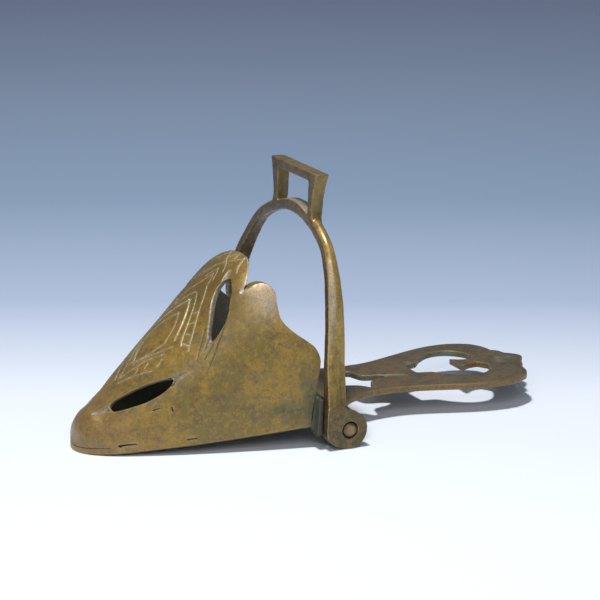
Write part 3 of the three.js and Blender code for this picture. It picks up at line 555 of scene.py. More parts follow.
def sink_in(obj, depths):
    """Sinks each point into the skin by its depth."""
    move_points(obj, points_of(obj) - normals_of(obj) * depths[:, None])


def cast_skin(obj, voxel):
    """Even fine mesh of the solid."""
    modify(obj, "REMESH", mode="VOXEL", voxel_size=voxel)


def soften(obj, rounds, share=None):
    """Rounds the edges as wear and casting do, all alike or by a share from 0 to 1 at each vertex."""
    where = {}
    if share is not None:
        group = obj.vertex_groups.new(name="soften")
        for i in np.flatnonzero(share > 0.01):
            group.add([int(i)], float(share[i]), "REPLACE")
        where["vertex_group"] = group.name
    modify(obj, "SMOOTH", factor=0.5, iterations=rounds, **where)
    obj.vertex_groups.clear()


def thin_out(obj):
    """Keeps the mesh under the most triangles, fewest where it is flat."""
    triangles = sum(len(face.vertices) - 2 for face in obj.data.polygons)
    if triangles > MOST_TRIANGLES:
        modify(obj, "DECIMATE", ratio=MOST_TRIANGLES / triangles)


def hand_finish(obj, wavelength, seed):
    """Sinks the skin by a little, in random waves, as filing and casting leave it."""
    points = points_of(obj)
    random = np.random.default_rng(seed)
    total = np.zeros(len(points))
    for _ in range(WAVES):
        heading = random.normal(size=3)
        heading /= np.linalg.norm(heading)
        length = wavelength * random.uniform(*WAVE_LENGTHS)
        total += np.sin(points @ heading * 2 * math.pi / length + random.uniform(0, 2 * math.pi))
    sink_in(obj, WAVE_DEPTH * np.clip(0.5 + total / (2 * math.sqrt(2 * WAVES)), 0, 1))


def close_to(points, marks, reach):
    """Which points may lie within reach of a mark, by the cells of a coarse grid."""
    def cells(places):
        corner = np.floor(places / reach).astype(np.int64) + GRID_SPAN // 4
        return (corner[:, 0] * GRID_SPAN + corner[:, 1]) * GRID_SPAN + corner[:, 2]

    steps = np.array(np.meshgrid(*[(-1, 0, 1)] * 3)).reshape(3, -1).T * reach
    around = np.unique(np.concatenate([cells(marks + step) for step in steps]))
    return np.flatnonzero(np.isin(cells(points), around))


def nearest_marks(points, marks, reach):
    """Distance from each point to the nearest of the marks, and that mark's index, as far as the reach."""
    tree = kdtree.KDTree(len(marks))
    for i, mark in enumerate(marks):
        tree.insert(mark, i)
    tree.balance()
    far = np.full(len(points), 2.0 * reach)
    which = np.zeros(len(points), int)
    for i in close_to(points, marks, reach):
        _, which[i], far[i] = tree.find(points[i])
    return far, which


def tapered(cuts, run_of):
    """Points close together along the cuts, with the half width and depth at each."""
    marks, widths, depths = [], [], []
    for (width, depth, end_width, end_depth), places in cuts:
        run, share = run_of(places)
        marks.append(run)
        widths.append(width + (end_width - width) * share)
        depths.append(depth + (end_depth - depth) * share)
    return np.concatenate(marks), np.concatenate(widths), np.concatenate(depths)


def groove(points, marks, widths, depths):
    """Depth of the groove along the marks, and its tint: full in the middle, half at its edge."""
    far, which = nearest_marks(points, marks, 2 * widths.max())
    across = far / widths[which]
    return depths[which] * np.clip(1 - across**2, 0, 1), np.clip(1 - across / 2, 0, 1)


def store(obj, **shares):
    """Keeps named values at the vertices, for the materials to read."""
    for name, values in shares.items():
        layer = obj.data.attributes.new(name, "FLOAT", "POINT")
        layer.data.foreach_set("value", np.asarray(values, np.float32))


def finished(obj, name, node, material, body):
    """Turns a piece into metres in the frame, ties it to its body and hides its node's CAD part."""
    points = points_of(obj)
    move_points(obj, points * MM + (HINGE_X, 0, 0))
    obj.name = name
    obj.data.name = name
    obj.data.shade_smooth()
    obj.data.materials.clear()
    obj.data.materials.append(material)
    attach(obj, body)
    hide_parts(node)
    return obj


# Hood


def sole_top_at(x):
    return SOLE_TOP - RAMP_SLOPE * np.maximum(0, RAMP_START - x)


def hood_points(distance, angle):
    """Points of the hood's outside: distance behind the nose, angle up from the near edge."""
    distance, angle = np.broadcast_arrays(np.asarray(distance, float), np.asarray(angle, float))
    x = distance - TOE_REACH
    share = distance / HOOD_LENGTH
    power = 2 / (NOSE_POWER + (RIM_POWER - NOSE_POWER) * share)
    sideways = np.cos(angle)
    upward = np.maximum(0, np.sin(angle))
    y = -np.sign(sideways) * SHOE_HALF_WIDTH * smooth_blunt(HOOD_WIDTHS, share) * np.abs(sideways) ** power
    z = sole_top_at(x) + SEAM + HOOD_RISE * smooth_blunt(HOOD_RIDGE, share) * upward ** power
    from_bulge = (z - NOSE_BULGE_HEIGHT) / NOSE_BULGE_SPREAD
    bulge = NOSE_BULGE * np.exp(-from_bulge**2 - distance / NOSE_BULGE_FADE)
    return np.stack([x - bulge, y, z], axis=-1)


def hood_normals(distance, angle):
    small = 0.01
    inset = np.clip(angle, small, math.pi - small)
    along = hood_points(distance + small, inset) - hood_points(np.maximum(distance - small, 0), inset)
    around = hood_points(distance, inset + small) - hood_points(distance, inset - small)
    outward = np.cross(along, around)
    return outward / np.linalg.norm(outward, axis=-1, keepdims=True)


def hood_shell():
    """The shell before its rim and slits are cut."""
    rows = HOOD_LENGTH * HOOD_OVERRUN * (np.arange(1, SHELL_ROWS + 1) / SHELL_ROWS) ** ROW_CROWDING
    columns = np.linspace(0, math.pi, SHELL_COLUMNS + 1)
    distance, angle = np.meshgrid(rows, columns, indexing="ij")
    outside = hood_points(distance, angle)
    inside = outside - hood_normals(distance, angle) * HOOD_WALL
    lowest = sole_top_at(inside[..., 0]) + SEAM
    inside[..., 2] = np.maximum(inside[..., 2], lowest + INNER_FLOOR_RISE * np.sin(angle))
    inside[:, (0, -1), 2] = lowest[:, (0, -1)]
    for skin in (outside, inside):
        skin[:, (0, -1), 2] -= SKIRT_DROP
        skin[..., 2] = np.maximum(skin[..., 2], GROUND_GAP)
    nose = hood_points(0, 0) - (0, 0, SKIRT_DROP)
    nose[2] = max(nose[2], GROUND_GAP)
    inner_nose = nose + (HOOD_WALL, 0, RAMP_SLOPE * HOOD_WALL)
    points = np.concatenate([outside.reshape(-1, 3), inside.reshape(-1, 3), [nose, inner_nose]])
    wide = SHELL_COLUMNS + 1
    inner = SHELL_ROWS * wide
    nose_at, last = 2 * inner, inner - wide
    faces = []
    for row in range(0, last, wide):
        for i in range(row, row + SHELL_COLUMNS):
            faces.append((i, i + wide, i + wide + 1, i + 1))
            faces.append((inner + i + 1, inner + i + wide + 1, inner + i + wide, inner + i))
        for i in (row, row + SHELL_COLUMNS):
            faces.append((i, i + wide, inner + i + wide, inner + i))
    for i in range(SHELL_COLUMNS):
        faces.append((last + i, last + i + 1, inner + last + i + 1, inner + last + i))
        faces.append((nose_at, i, i + 1))
        faces.append((nose_at + 1, inner + i + 1, inner + i))
    for i in (0, SHELL_COLUMNS):
        faces.append((nose_at, i, inner + i, nose_at + 1))
    return solid(points, faces)


def behind_rim():
    """What the rim cuts away, from the tongue down two lobes to the sole."""
    runs = [curve_through([(-ahead, height) for ahead, height in run])
            for run in (RIM_TONGUE, RIM_UPPER_LOBE, RIM_LOWER_LOBE)]
    foot = (-RIM_FOOT, sole_top_at(-RIM_FOOT) - SOLE_THICKNESS)
    way_above = 2 * HOOD_RISE
    outline = np.concatenate([
        [(-RIM_TONGUE[0][0], way_above)], runs[0], runs[1][1:], runs[2][1:],
        [foot, (HOOD_LENGTH, foot[1]), (HOOD_LENGTH, way_above)]])
    return prism_across(outline, -2 * SHOE_HALF_WIDTH, 2 * SHOE_HALF_WIDTH)


def on_hood(places):
    """Points on the hood of places (distance ahead of the hinge, degrees up from the near edge)."""
    ahead, degrees = np.array(places, float).T
    return hood_points(TOE_REACH - ahead, np.radians(degrees))


def slit_cutter(outline, slant=(0, 0)):
    """Cutter through the wall, square to it at the slit's middle apart from its slant."""
    places = curve_through(outline + outline[:1], steps=4)[:-1]
    ring = on_hood(places)
    ahead, degrees = np.mean(outline, axis=0)
    outward = hood_normals(np.array(TOE_REACH - ahead), np.array(math.radians(degrees)))
    leaning = np.interp(places[:, 1], (places[:, 1].min(), places[:, 1].max()), slant)
    through = outward * SLIT_CUT_DEPTH - leaning[:, None] * (SLIT_CUT_DEPTH / HOOD_WALL, 0, 0)
    return prism(ring - through, ring + through)


def angle_at(ahead, height):
    """Degrees up from the near edge at which the hood reaches a height."""
    share = (TOE_REACH - ahead) / HOOD_LENGTH
    power = NOSE_POWER + (RIM_POWER - NOSE_POWER) * share
    rise = (height - SEAM - sole_top_at(-ahead)) / (HOOD_RISE * smooth_blunt(HOOD_RIDGE, share))
    return math.degrees(math.asin(min(1, float(rise) ** (power / 2))))


def run_on_hood(places):
    """Points set close together along a curve on the hood, with the share of the way at each."""
    run = curve_through(places, steps=40)
    length = np.linalg.norm(np.diff(on_hood(run), axis=0), axis=1).sum()
    share = np.linspace(0, 1, max(2, int(length / MARK_SPACING)))
    at = share * (len(run) - 1)
    return on_hood(np.stack([np.interp(at, np.arange(len(run)), column) for column in run.T], axis=1)), share


def hood_groove(points, near, far=()):
    """Depth and tint of the grooves along the near side's cuts and the mirror images of the far side's."""
    sides = [tapered(near, run_on_hood)]
    if far:
        marks, widths, depths = tapered(far, run_on_hood)
        sides.append((marks * (1, -1, 1), widths, depths))
    return groove(points, *(np.concatenate(values) for values in zip(*sides)))


def outward_share(obj):
    """1 on the hood's outside, -1 on its inside, in between on the walls of its cuts."""
    points = points_of(obj)
    share = np.clip((points[:, 0] + TOE_REACH) / HOOD_LENGTH, 0, 1)
    core = sole_top_at(points[:, 0]) + CORE_RISE * HOOD_RISE * share
    forward, away, small = CORE_WEIGHTS
    outward = np.stack([0 * share - forward, points[:, 1] / SHOE_HALF_WIDTH * away / (small + share),
                        (points[:, 2] - core) / HOOD_RISE * away], axis=1)
    outward /= np.linalg.norm(outward, axis=1, keepdims=True)
    return np.einsum("ij,ij->i", normals_of(obj), outward)


def slit_nearness(points):
    """Distance to the outline of the nearest slit."""
    rings = [on_hood(curve_through(slit + slit[:1], steps=12)) * (1, side, 1)
             for slit, side in ((LOWER_SLIT, 1), (UPPER_SLIT, 1), (LOWER_SLIT, -1), (FAR_UPPER_SLIT, -1))]
    return nearest_marks(points, np.concatenate(rings), 2 * HOOD_WALL)[0]


def rubbed_lobe(points):
    """How near each point is to the middle of the painted highlight on the lobe on its side."""
    from_lobe = np.linalg.norm(points * (-1, 0, 1) + np.abs(points) * (0, 1, 0) - RUBBED_LOBE, axis=1)
    return np.exp(-((from_lobe / RUBBED_REACH) ** 2))


def toe_hood():
    hood = combine(hood_shell(), behind_rim(), "DIFFERENCE")
    both_sides(hood, slit_cutter(LOWER_SLIT), "DIFFERENCE")
    combine(hood, slit_cutter(UPPER_SLIT, SLIT_SLANT), "DIFFERENCE")
    combine(hood, mirrored(slit_cutter(FAR_UPPER_SLIT, SLIT_SLANT)), "DIFFERENCE")
    cast_skin(hood, FINE_VOXEL)
    soften(hood, rounds=6)
    hand_finish(hood, wavelength=12, seed=3)
    points = points_of(hood)
    facing = outward_share(hood)
    outside = fade(facing, *FACING_OUT)
    tongue = (TONGUE_WEAR, [(ahead, angle_at(ahead, height)) for ahead, height in RIM_TONGUE[1:]])
    line, line_tint = hood_groove(points, CHASED, CHASED)
    hollow, hollow_tint = hood_groove(points, HOLLOWS + [NEAR_HOLLOW], HOLLOWS + [FAR_HOLLOW])
    wear, wear_tint = hood_groove(points, [tongue, (SLIT_WEAR, UPPER_SLIT[6:])],
                                  [tongue, (SLIT_WEAR, FAR_UPPER_SLIT[6:])])
    scored, scored_tint = hood_groove(points, SCORED, SCORED)
    flaw, flaw_tint = hood_groove(points, FLAWS)
    seam, seam_tint = hood_groove(points, NOSE_SEAM, NOSE_SEAM)
    _, stain = hood_groove(points, STAINS, STAINS)
    sink_in(hood, outside * np.maximum.reduce([line, scored, hollow, wear, flaw, seam]))
    near_slit = 1 - fade(slit_nearness(points), HOOD_WALL, CUT_REACH * HOOD_WALL)
    # painted shade on the hood's upper part
    upper = fade(points[:, 2], *UPPER_HEIGHT) * fade(-points[:, 0], *UPPER_AHEAD)
    store(hood,
          verdigris=outside * stain,
          chased=outside * line_tint,
          scored=outside * scored_tint,
          rough_cut=np.maximum(outside * hollow_tint, near_slit * (1 - fade(facing, *FACING_ALONG))),
          worn_rim=outside * wear_tint,
          # reddish tone and painted highlight on the nose
          nose=outside * fade(-points[:, 0], *NOSE_AHEAD),
          upper=outside * upper,
          # painted highlight on the lobe
          rubbed=outside * rubbed_lobe(points),
          dark=outside * np.maximum(flaw_tint, SEAM_SHADE * seam_tint),
          inner=fade(-facing, *FACING_IN))
    thin_out(hood)
    return finished(hood, "hood_casting", "toe_hood", hood_brass(), "shoe")


# Plate


def run_on_plate(places):
    """Points along a curve on the plate's top, with the share of the way at each."""
    run = curve_through([(x, y, SOLE_TOP) for x, y in places], steps=60)
    return run, np.linspace(0, 1, len(run))


def foot_plate():
    """The plate keeps its CAD form, with a cast skin."""
    plate = placed("plate", frame["nodes"]["foot_plate"].data.copy())
    move_points(plate, (points_of(plate) - (HINGE_X, 0, 0)) / MM)
    cast_skin(plate, VOXEL)
    soften(plate, rounds=5)
    hand_finish(plate, wavelength=13, seed=8)
    points = points_of(plate)
    cleft, _ = groove(points, *tapered(CLEFT, run_on_plate))
    points[:, 2] -= cleft * fade(normals_of(plate)[:, 2], *FLAT_TOP)
    move_points(plate, points)
    thin_out(plate)
    points = points_of(plate)
    normals = normals_of(plate)
    _, cleft_tint = groove(points, *tapered(CLEFT, run_on_plate))
    _, crust = groove(points, *tapered(CRUST, run_on_plate))
    beside_hinge = fade(np.abs(points[:, 1]), CHEEK_INNER - BESIDE_CHEEK, CHEEK_INNER)
    upright = fade(1 - np.abs(normals[:, 2]), *UPRIGHT)
    facing_out = normals[:, 1] * np.sign(points[:, 1]) + HEEL_OUTWARD * fade(points[:, 0], *HEEL_END)
    cut_walls = upright * fade(-facing_out, *OUTER_EDGE)
    store(plate,
          # painted shade beside the cheeks, under the hood's rear
          dark=beside_hinge * fade(-points[:, 0], *DARK_AHEAD),
          worn_edge=upright * fade(facing_out, *OUTER_EDGE),
          verdigris=np.maximum.reduce([cut_walls, cleft_tint, crust, HINGE_GREEN * beside_hinge]))
    under_hood = fade(-points[:, 0], RIM_FOOT, RIM_FOOT + DRAWN_IN_LENGTH)
    drawn_in = SKIRT_COVER * under_hood * (1 - normals[:, 2] ** 2)
    normals[:, 2] = 0
    move_points(plate, points - normals * drawn_in[:, None])
    return finished(plate, "plate_casting", "foot_plate", plate_brass(), "shoe")


# Bow


def arch_curve():
    """Inside of the arch from the near foot to the far foot, in the front view (y, z)."""
    half = [(-out * EYE_INNER, up * ARCH_HEIGHT) for up, out in ARCH_INSIDE]
    far = [(hump(z, *FAR_SHOULDER) - y, z) for y, z in reversed(half[:-1])]
    return curve_through(half + far, steps=60)


def arch_loft():
    """The arch: flat inside, rounded outside, narrower from front to rear towards the top."""
    curve = arch_curve()
    run = np.concatenate([[0], np.cumsum(np.linalg.norm(np.diff(curve, axis=0), axis=1))])
    even = np.linspace(0, run[-1], ARCH_RINGS + 1)
    inside = np.stack([np.interp(even, run, curve[:, i]) for i in (0, 1)], axis=1)
    heading = np.gradient(inside, axis=0)
    heading /= np.linalg.norm(heading, axis=1, keepdims=True)
    outward = np.stack([-heading[:, 1], heading[:, 0]], axis=1)
    up = np.clip(inside[:, 1] / ARCH_HEIGHT, 0, 1)
    thickness = EYE_THICKNESS + (ARCH_THICKNESS - EYE_THICKNESS) * fade(up, *THICKNESS_CHANGE)
    crown = FULL_CROWN * fade(up, *CROWN_CHANGE)
    bend = hump(inside[:, 1], *FAR_BEND) * fade(inside[:, 0], 0, SLOT_HALF_WIDTH)
    front = ARCH_FRONT_TAPER * up - LEG_FRONT - bend
    rear = smooth(ARCH_REAR, up) - LEG_REAR - bend
    over = np.linspace(1, 0, SECTION_STEPS)
    inset, rise = SECTION_CHAMFER
    along = np.concatenate([[0, inset, 1 - inset, 1], over])
    rings = []
    for i in range(ARCH_RINGS + 1):
        out = np.concatenate([[rise, 0, 0, rise], 1 - crown[i] * (1 - np.sin(math.pi * over))])
        out = out * thickness[i]
        rings.append(np.stack([front[i] + (rear[i] - front[i]) * along,
                               inside[i, 0] + outward[i, 0] * out,
                               inside[i, 1] + outward[i, 1] * out], axis=1))
    sides = len(along)
    caps = [range(sides), range(ARCH_RINGS * sides, (ARCH_RINGS + 1) * sides)]
    return solid(np.concatenate(rings), caps + ring_faces(ARCH_RINGS + 1, sides))


def foot_outline():
    """Side view of the foot: the leg's end rounds under into the eye."""
    top = math.asin((EYE_RADIUS - FOOT_CHIN) / EYE_RADIUS)
    return np.concatenate([
        [(-LEG_FRONT, FOOT_HEIGHT)],
        arc((0, -FOOT_CHIN), (LEG_FRONT, EYE_RADIUS - FOOT_CHIN), math.pi, 1.5 * math.pi)[:-1],
        arc((0, 0), (EYE_RADIUS, EYE_RADIUS), -math.pi / 2, top, EYE_STEPS),
        [(-LEG_REAR * FOOT_BACK[0], EYE_RADIUS * FOOT_BACK[1]), (-LEG_REAR, FOOT_HEIGHT + FOOT_CHIN)]])


def strap_loop():
    """Front view met by side view, so the loop is deeper at the bar than at the neck."""
    foot = ARCH_HEIGHT - LOOP_FOOT_DROP
    neck = ARCH_HEIGHT + LOOP_FLARE_RISE
    middle = (ARCH_HEIGHT + LOOP_TOP) / 2
    side = curve_through([
        (NECK_HALF_WIDTH + LOOP_FLARE, foot), (NECK_HALF_WIDTH + LOOP_FLARE / 4, (foot + neck) / 2),
        (NECK_HALF_WIDTH, neck), (NECK_HALF_WIDTH + LOOP_SPREAD, middle), (LOOP_HALF_WIDTH, LOOP_TOP)])
    outline = np.concatenate([side, side[::-1] * (-1, 1)])
    front = ARCH_FRONT_TAPER - LEG_FRONT
    loop = prism_along(outline, front, front + LOOP_DEPTH_TOP)
    slab = [(front - LOOP_DEPTH_TOP, foot - LOOP_DEPTH_TOP), (front + LOOP_DEPTH_FOOT, foot - LOOP_DEPTH_TOP),
            (front + LOOP_DEPTH_FOOT, foot), (front + LOOP_DEPTH_NECK, neck),
            (front + LOOP_DEPTH_NECK, middle), (front + LOOP_DEPTH_TOP, LOOP_TOP + LOOP_DEPTH_TOP),
            (front - LOOP_DEPTH_TOP, LOOP_TOP + LOOP_DEPTH_TOP)]
    combine(loop, prism_across(slab, -2 * LOOP_HALF_WIDTH, 2 * LOOP_HALF_WIDTH), "INTERSECT")
    opening = prism_along(arch_curve()[::4], -2 * LEG_FRONT, 2 * LEG_FRONT)
    return combine(loop, opening, "DIFFERENCE")


def strap_slot():
    top = LOOP_TOP - BAR_THICKNESS
    corner = ARCH_HEIGHT + SLOT_FLOOR_RISE
    crest = ARCH_HEIGHT + ARCH_THICKNESS
    across = np.linspace(-1, 1, SLOT_STEPS)
    floor = np.stack([across * SLOT_HALF_WIDTH, corner + (crest - corner) * (1 - across**2)], axis=1)
    outline = np.concatenate([floor, [(SLOT_HALF_WIDTH, top), (-SLOT_HALF_WIDTH, top)]])
    return prism_along(outline, -2 * LEG_FRONT, 2 * LEG_FRONT)


def leaned(points):
    """From the upright bow's own frame to its rest, leaning a little to the heel."""
    cosine, sine = math.cos(REST_LEAN), math.sin(REST_LEAN)
    x = points[:, 0] * cosine + points[:, 2] * sine
    z = PIN_HEIGHT - points[:, 0] * sine + points[:, 2] * cosine
    return np.stack([x, points[:, 1], z], axis=1)


def bow_shading(points, normals):
    """Painted shade inside the arch, round the pins, on the far half and on the loop, and darker on the eyes.
    """
    upright = np.minimum(points[:, 2], ARCH_HEIGHT / 2)
    inward = np.stack([points[:, 1], points[:, 2] - upright], axis=1)
    inward /= -np.linalg.norm(inward, axis=1, keepdims=True) + TINY
    inside = INSIDE_SHADE * fade(np.einsum("ij,ij->i", normals[:, 1:], inward), *INSIDE_FACING)
    inside *= 1 - fade(points[:, 2], *ARCH_TOP)
    far_half = FAR_SHADE * fade(points[:, 1], *FAR_ACROSS)
    loop = LOOP_SHADE * fade(points[:, 2], *LOOP_ABOVE)
    eyes = EYE_SHADE * (1 - fade(points[:, 2], *EYE_BELOW))
    from_pin = np.hypot(points[:, 0], points[:, 2])
    round_pin = PIN_SHADE * (1 - fade(from_pin, *PIN_ROUND))
    return np.maximum.reduce([inside, far_half, loop, eyes, round_pin])


def bow_rubbed(points, normals):
    """Painted highlight: a strip up each leg and the arch's top inside the loop."""
    height = points[:, 2]
    outwards = RUBBED_FACING[1] * np.sign(points[:, 1])
    towards_hand = normals * (1, 0, 1) @ RUBBED_FACING + normals[:, 1] * outwards
    strip = fade(height, *RUBBED_ABOVE) * (1 - fade(height, *RUBBED_BELOW))
    crown = fade(height, *CROWN_ABOVE) * (1 - fade(height, *CROWN_BELOW))
    return np.maximum(strip * fade(towards_hand, *RUBBED_STRIP),
                      crown * fade(normals[:, 2], *CROWN_FACING))


def stirrup_bow():
    bow = combine(arch_loft(), strap_loop(), "UNION")
    combine(bow, strap_slot(), "DIFFERENCE")
    both_sides(bow, prism_across(foot_outline(), -EYE_OUTER, -EYE_INNER), "UNION")
    both_sides(bow, barrel(BORE_RADIUS, -EYE_OUTER - PLAY, -EYE_INNER + PLAY), "DIFFERENCE")
    both_sides(bow, barrel(RECESS_RADIUS, -EYE_OUTER - PLAY, -EYE_OUTER + HEAD_DEPTH), "DIFFERENCE")
    cast_skin(bow, VOXEL)
    height = points_of(bow)[:, 2]
    soften(bow, rounds=4)
    soften(bow, rounds=12, share=fade(height, *LOOP_WORN))
    soften(bow, rounds=16, share=1 - fade(np.abs(height - FOOT_HEIGHT), *FOOT_WORN))
    hand_finish(bow, wavelength=9, seed=21)
    thin_out(bow)
    points = points_of(bow)
    normals = normals_of(bow)
    forward = -normals[:, 0]
    cornered = (forward + normals[:, 1] * np.sign(points[:, 1])) / math.sqrt(2)
    legs = 1 - fade(points[:, 2], *EDGE_BELOW)
    # painted shade on the loop's front
    in_loop = LOOP_FRONT_SHADE * fade(points[:, 2], *LOOP_FRONT_ABOVE)
    store(bow,
          shaded=bow_shading(points, normals),
          front_face=np.maximum(fade(forward, *FRONT_FACING), in_loop),
          # painted highlight up the legs and on the arch's top
          rubbed=bow_rubbed(points, normals),
          # painted highlight along the legs' front edges
          bright_edge=legs * fade(cornered, *EDGE_STRIP))
    move_points(bow, leaned(points))
    return finished(bow, "bow_casting", "stirrup_bow", bow_brass(), "bow")


# Pins


def pivot_pin(side, node):
    """Pin from its domed end in the eye's recess to the end that is tight in the cheek."""
    head_seat = EYE_OUTER - HEAD_DEPTH + PLAY
    dome = arc((EYE_OUTER - HEAD_WEAR, 0), (DOME_RISE + HEAD_WEAR, HEAD_RADIUS), 0, math.pi / 2, DOME_STEPS)
    profile = [(radius, place) for place, radius in dome]
    profile += [(HEAD_RADIUS, head_seat), (SHANK_RADIUS, head_seat),
                (SHANK_RADIUS, CHEEK_INNER + END_CHAMFER), (SHANK_RADIUS - END_CHAMFER, CHEEK_INNER),
                (0, CHEEK_INNER)]
    turns = np.linspace(0, 2 * math.pi, ROUND_SIDES, endpoint=False)
    points = [(radius * math.cos(t), side * place, PIN_HEIGHT + radius * math.sin(t))
              for radius, place in profile for t in turns]
    pin = solid(points, ring_faces(len(profile), ROUND_SIDES))
    points = points_of(pin)
    store(pin, shaded=fade(np.hypot(points[:, 0], points[:, 2] - PIN_HEIGHT), *HEAD_SHADED))
    return finished(pin, node + "_turned", node, pin_brass(), "shoe")


# Materials


class NodeTree:
    """Short way to build the nodes of one material or world."""

    KIND = "ShaderNode"
    # Places of the colour sockets of a mix node
    FACTOR, FIRST, SECOND, RESULT = 0, 6, 7, 2

    def __init__(self, owner, output):
        owner.use_nodes = True
        self.nodes = owner.node_tree.nodes
        self.links = owner.node_tree.links
        self.nodes.clear()
        self.output = self.nodes.new(self.KIND + output)

    def add(self, kind, settings=None, **inputs):
        node = self.nodes.new(self.KIND + kind)
        set_all(node, settings or {})
        for key, value in inputs.items():
            self.plug(node.inputs[key.replace("_", " ")], value)
        return node

    def plug(self, socket, value):
        if isinstance(value, bpy.types.NodeSocket):
            self.links.new(value, socket)
        else:
            socket.default_value = value

    def show(self, shader):
        """Makes the node's shader the surface."""
        self.links.new(shader.outputs[0], self.output.inputs["Surface"])

    def noise(self, place, pattern):
        return self.add("TexNoise", Vector=place, Scale=pattern.scale, Detail=pattern.detail,
                        Roughness=pattern.roughness).outputs["Fac"]

    def ramp(self, value, low, high, start=0.0, end=1.0, easing="SMOOTHSTEP"):
        return self.add("MapRange", {"interpolation_type": easing}, Value=value, From_Min=low,
                        From_Max=high, To_Min=start, To_Max=end).outputs["Result"]

    def spread(self, place, pattern, start=0.0, end=1.0):
        """Values between start and end, spread over the surface by a pattern."""
        return self.ramp(self.noise(place, pattern), pattern.start, pattern.full, start, end)

    def reckon(self, operation, first, second):
        node = self.add("Math", {"operation": operation})
        self.plug(node.inputs[0], first)
        self.plug(node.inputs[1], second)
        return node.outputs[0]

    def blend(self, factor, first, second):
        node = self.add("Mix", {"data_type": "RGBA"})
        self.plug(node.inputs[self.FACTOR], factor)
        for place, colour in ((self.FIRST, first), (self.SECOND, second)):
            linked = isinstance(colour, bpy.types.NodeSocket)
            self.plug(node.inputs[place], colour if linked else (*colour, 1))
        return node.outputs[self.RESULT]


def toned(colour, share):
    return [channel * share for channel in colour]


def patina(tree, place, brass):
    """Colour of the brass under its marks, and how much of a hollow corner each place is."""
    stretched = tree.add("Mapping", Vector=place, Scale=STREAK_SHAPE).outputs["Vector"]
    pointed = tree.add("NewGeometry").outputs["Pointiness"]
    corner = tree.ramp(pointed, *CORNER)
    colour = tree.blend(tree.spread(place, CLOUDS), brass.olive, brass.gold)
    for share, tint in (
            (tree.spread(place, BLOTCHES, end=brass.brown_share), brass.brown),
            (tree.spread(place, PATCHES, end=brass.green_share), VERDIGRIS),
            (tree.spread(place, FLECKS, end=FLECK_SHARE), toned(brass.gold, FLECK_LIGHT)),
            (tree.spread(place, SPECKLE, end=SPECKLE_SHARE), toned(brass.brown, SPECKLE_DARK)),
            (tree.spread(stretched, STREAKS, end=brass.streak_share), SOOT),
            (tree.spread(place, PITS, end=PIT_SHARE), SOOT),
            (tree.reckon("MULTIPLY", corner, CORNER_SOOT), SOOT),
            (tree.reckon("MULTIPLY", corner, CORNER_GREEN), VERDIGRIS),
            (tree.ramp(pointed, *EDGE, end=brass.worn_share), WORN)):
        colour = tree.blend(share, colour, tint)
    return colour, corner


def aged_brass(name, brass, marks):
    """Old cast brass: gold where it is worn, olive and brown patina, verdigris in the corners."""
    material = bpy.data.materials.new(name)
    tree = NodeTree(material, "OutputMaterial")
    place = tree.add("TexCoord").outputs["Object"]
    colour, corner = patina(tree, place, brass)
    rough = tree.spread(place, SMEARS, *(brass.gloss + change for change in GLOSS_SPREAD))
    rough = tree.reckon("ADD", rough, tree.reckon("MULTIPLY", corner, CORNER_DULLING))
    metal = brass.metal
    flecks = tree.noise(place, FLECKS)
    grit = tree.spread(place, GRIT)
    for mark in marks:
        share = tree.add("Attribute", {"attribute_name": mark.attribute}).outputs["Fac"]
        if mark.crisp:
            share = tree.ramp(share, *CRISP)
        share = tree.reckon("MULTIPLY", share, tree.ramp(flecks, *BROKEN, start=mark.whole))
        share = tree.reckon("MULTIPLY", share, mark.strength)
        colour = tree.blend(share, colour, tree.blend(grit, mark.tint, toned(mark.tint, GRIT_DARK)))
        dulling = tree.reckon("MULTIPLY", share, mark.dulling)
        rough = tree.reckon("ADD", rough, dulling)
        metal = tree.reckon("SUBTRACT", metal, dulling)
    dents = tree.reckon("MULTIPLY", tree.noise(place, DENTS), DENT_WEIGHT)
    height = tree.reckon("ADD", tree.noise(place, GRAIN), dents)
    bump = tree.add("Bump", Strength=BUMP, Distance=BUMP_HEIGHT, Height=height)
    tree.show(tree.add("BsdfPrincipled", Base_Color=colour, Metallic=metal, Roughness=rough,
                       Normal=bump.outputs["Normal"], Coat_Weight=COAT, Coat_Roughness=COAT_ROUGHNESS))
    return material


def hood_brass():
    brass = Brass((0.32, 0.195, 0.03), (0.21, 0.145, 0.028), (0.15, 0.085, 0.04), 0.42, green_share=0.25)
    return aged_brass("hood_brass", brass, HOOD_MARKS)


def plate_brass():
    brass = Brass((0.175, 0.108, 0.043), (0.108, 0.083, 0.038), (0.07, 0.044, 0.024), 0.48,
                  green_share=0.45, worn_share=0.2)
    return aged_brass("plate_brass", brass, PLATE_MARKS)


def bow_brass():
    brass = Brass((0.5, 0.32, 0.06), (0.36, 0.24, 0.05), (0.18, 0.11, 0.035), 0.36, metal=0.4,
                  brown_share=0.5, green_share=0.2, worn_share=0.9, streak_share=0.3)
    return aged_brass("bow_brass", brass, BOW_MARKS)


def pin_brass():
    brass = Brass((0.4, 0.24, 0.07), (0.2, 0.14, 0.06), (0.1, 0.07, 0.035), 0.42)
    return aged_brass("pin_brass", brass, PIN_MARKS)


# Studio


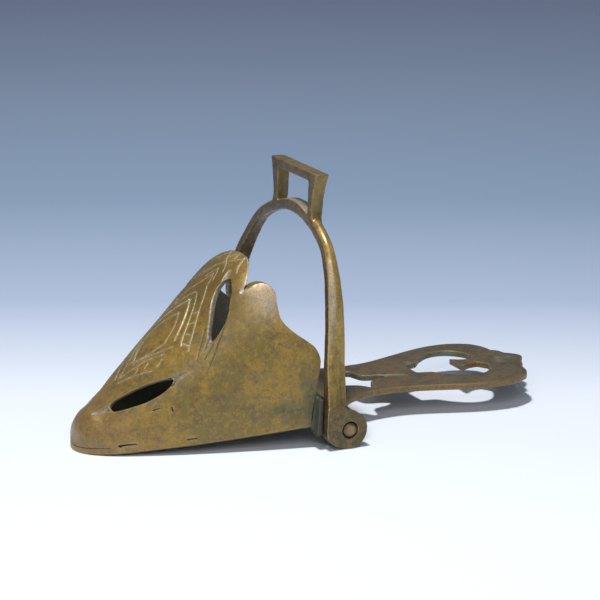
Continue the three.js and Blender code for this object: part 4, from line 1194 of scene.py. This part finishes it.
def floor_material():
    """White near the object, blue grey far behind it."""
    away = (-math.sin(CAMERA_TURN), math.cos(CAMERA_TURN), 0)
    near, far = FLOOR_FADE[0][0], FLOOR_FADE[-1][0]
    material = bpy.data.materials.new("floor_paper")
    tree = NodeTree(material, "OutputMaterial")
    along = tree.add("VectorMath", {"operation": "DOT_PRODUCT"})
    tree.plug(along.inputs[0], tree.add("TexCoord").outputs["Object"])
    tree.plug(along.inputs[1], away)
    ramp = tree.add("ValToRGB", Fac=tree.ramp(along.outputs["Value"], near, far, easing="LINEAR"))
    stops = ramp.color_ramp.elements
    while len(stops) < len(FLOOR_FADE):
        stops.new(0.5)
    for stop, (distance, colour) in zip(stops, FLOOR_FADE):
        stop.position = (distance - near) / (far - near)
        stop.color = (*colour, 1)
    tree.show(tree.add("BsdfDiffuse", Color=ramp.outputs["Color"]))
    return material


def floor():
    half = FLOOR_SIZE / 2
    corners = [(-half, -half, 0), (half, -half, 0), (half, half, 0), (-half, half, 0)]
    mesh = bpy.data.meshes.new("floor")
    mesh.from_pydata(corners, [], [range(len(corners))])
    mesh.materials.append(floor_material())
    obj = placed("floor", mesh)


def aim(obj, place, direction):
    obj.location = place
    obj.rotation_euler = direction.to_track_quat("-Z", "Y").to_euler()


def softbox(name, place, size, watts):
    lamp = bpy.data.lights.new(name, "AREA")
    lamp.shape = "RECTANGLE"
    lamp.size, lamp.size_y = size
    lamp.energy = watts
    aim(placed(name, lamp), Vector(place), Vector(LIGHTS_AIM) - Vector(place))


def sky():
    """Blue grey studio walls, which light the object only faintly but show in its gloss."""
    world = bpy.data.worlds.new("studio")
    bpy.context.scene.world = world
    tree = NodeTree(world, "OutputWorld")
    direction = tree.add("TexCoord").outputs["Generated"]
    height = tree.add("SeparateXYZ", Vector=direction).outputs["Z"]
    tree.show(tree.add("Background", Color=tree.blend(height, SKY_LOW, SKY_HIGH)))


def camera():
    data = bpy.data.cameras.new("camera")
    data.lens = CAMERA_LENS
    data.shift_x, data.shift_y = FRAME_SHIFT
    data.clip_start, data.clip_end = CAMERA_CLIP
    back = Vector((math.sin(CAMERA_TURN) * math.cos(CAMERA_RISE),
                   -math.cos(CAMERA_TURN) * math.cos(CAMERA_RISE), math.sin(CAMERA_RISE)))
    obj = placed("camera", data)
    aim(obj, Vector((HINGE_X, 0, LOOK_HEIGHT)) + back * CAMERA_DISTANCE, -back)
    bpy.context.scene.camera = obj


toe_hood()
foot_plate()
stirrup_bow()
pivot_pin(-1, "pivot_pin_near")
pivot_pin(1, "pivot_pin_far")
floor()
sky()
for light in LIGHTS:
    softbox(*light)
camera()
bpy.context.scene.view_settings.view_transform = "Standard"
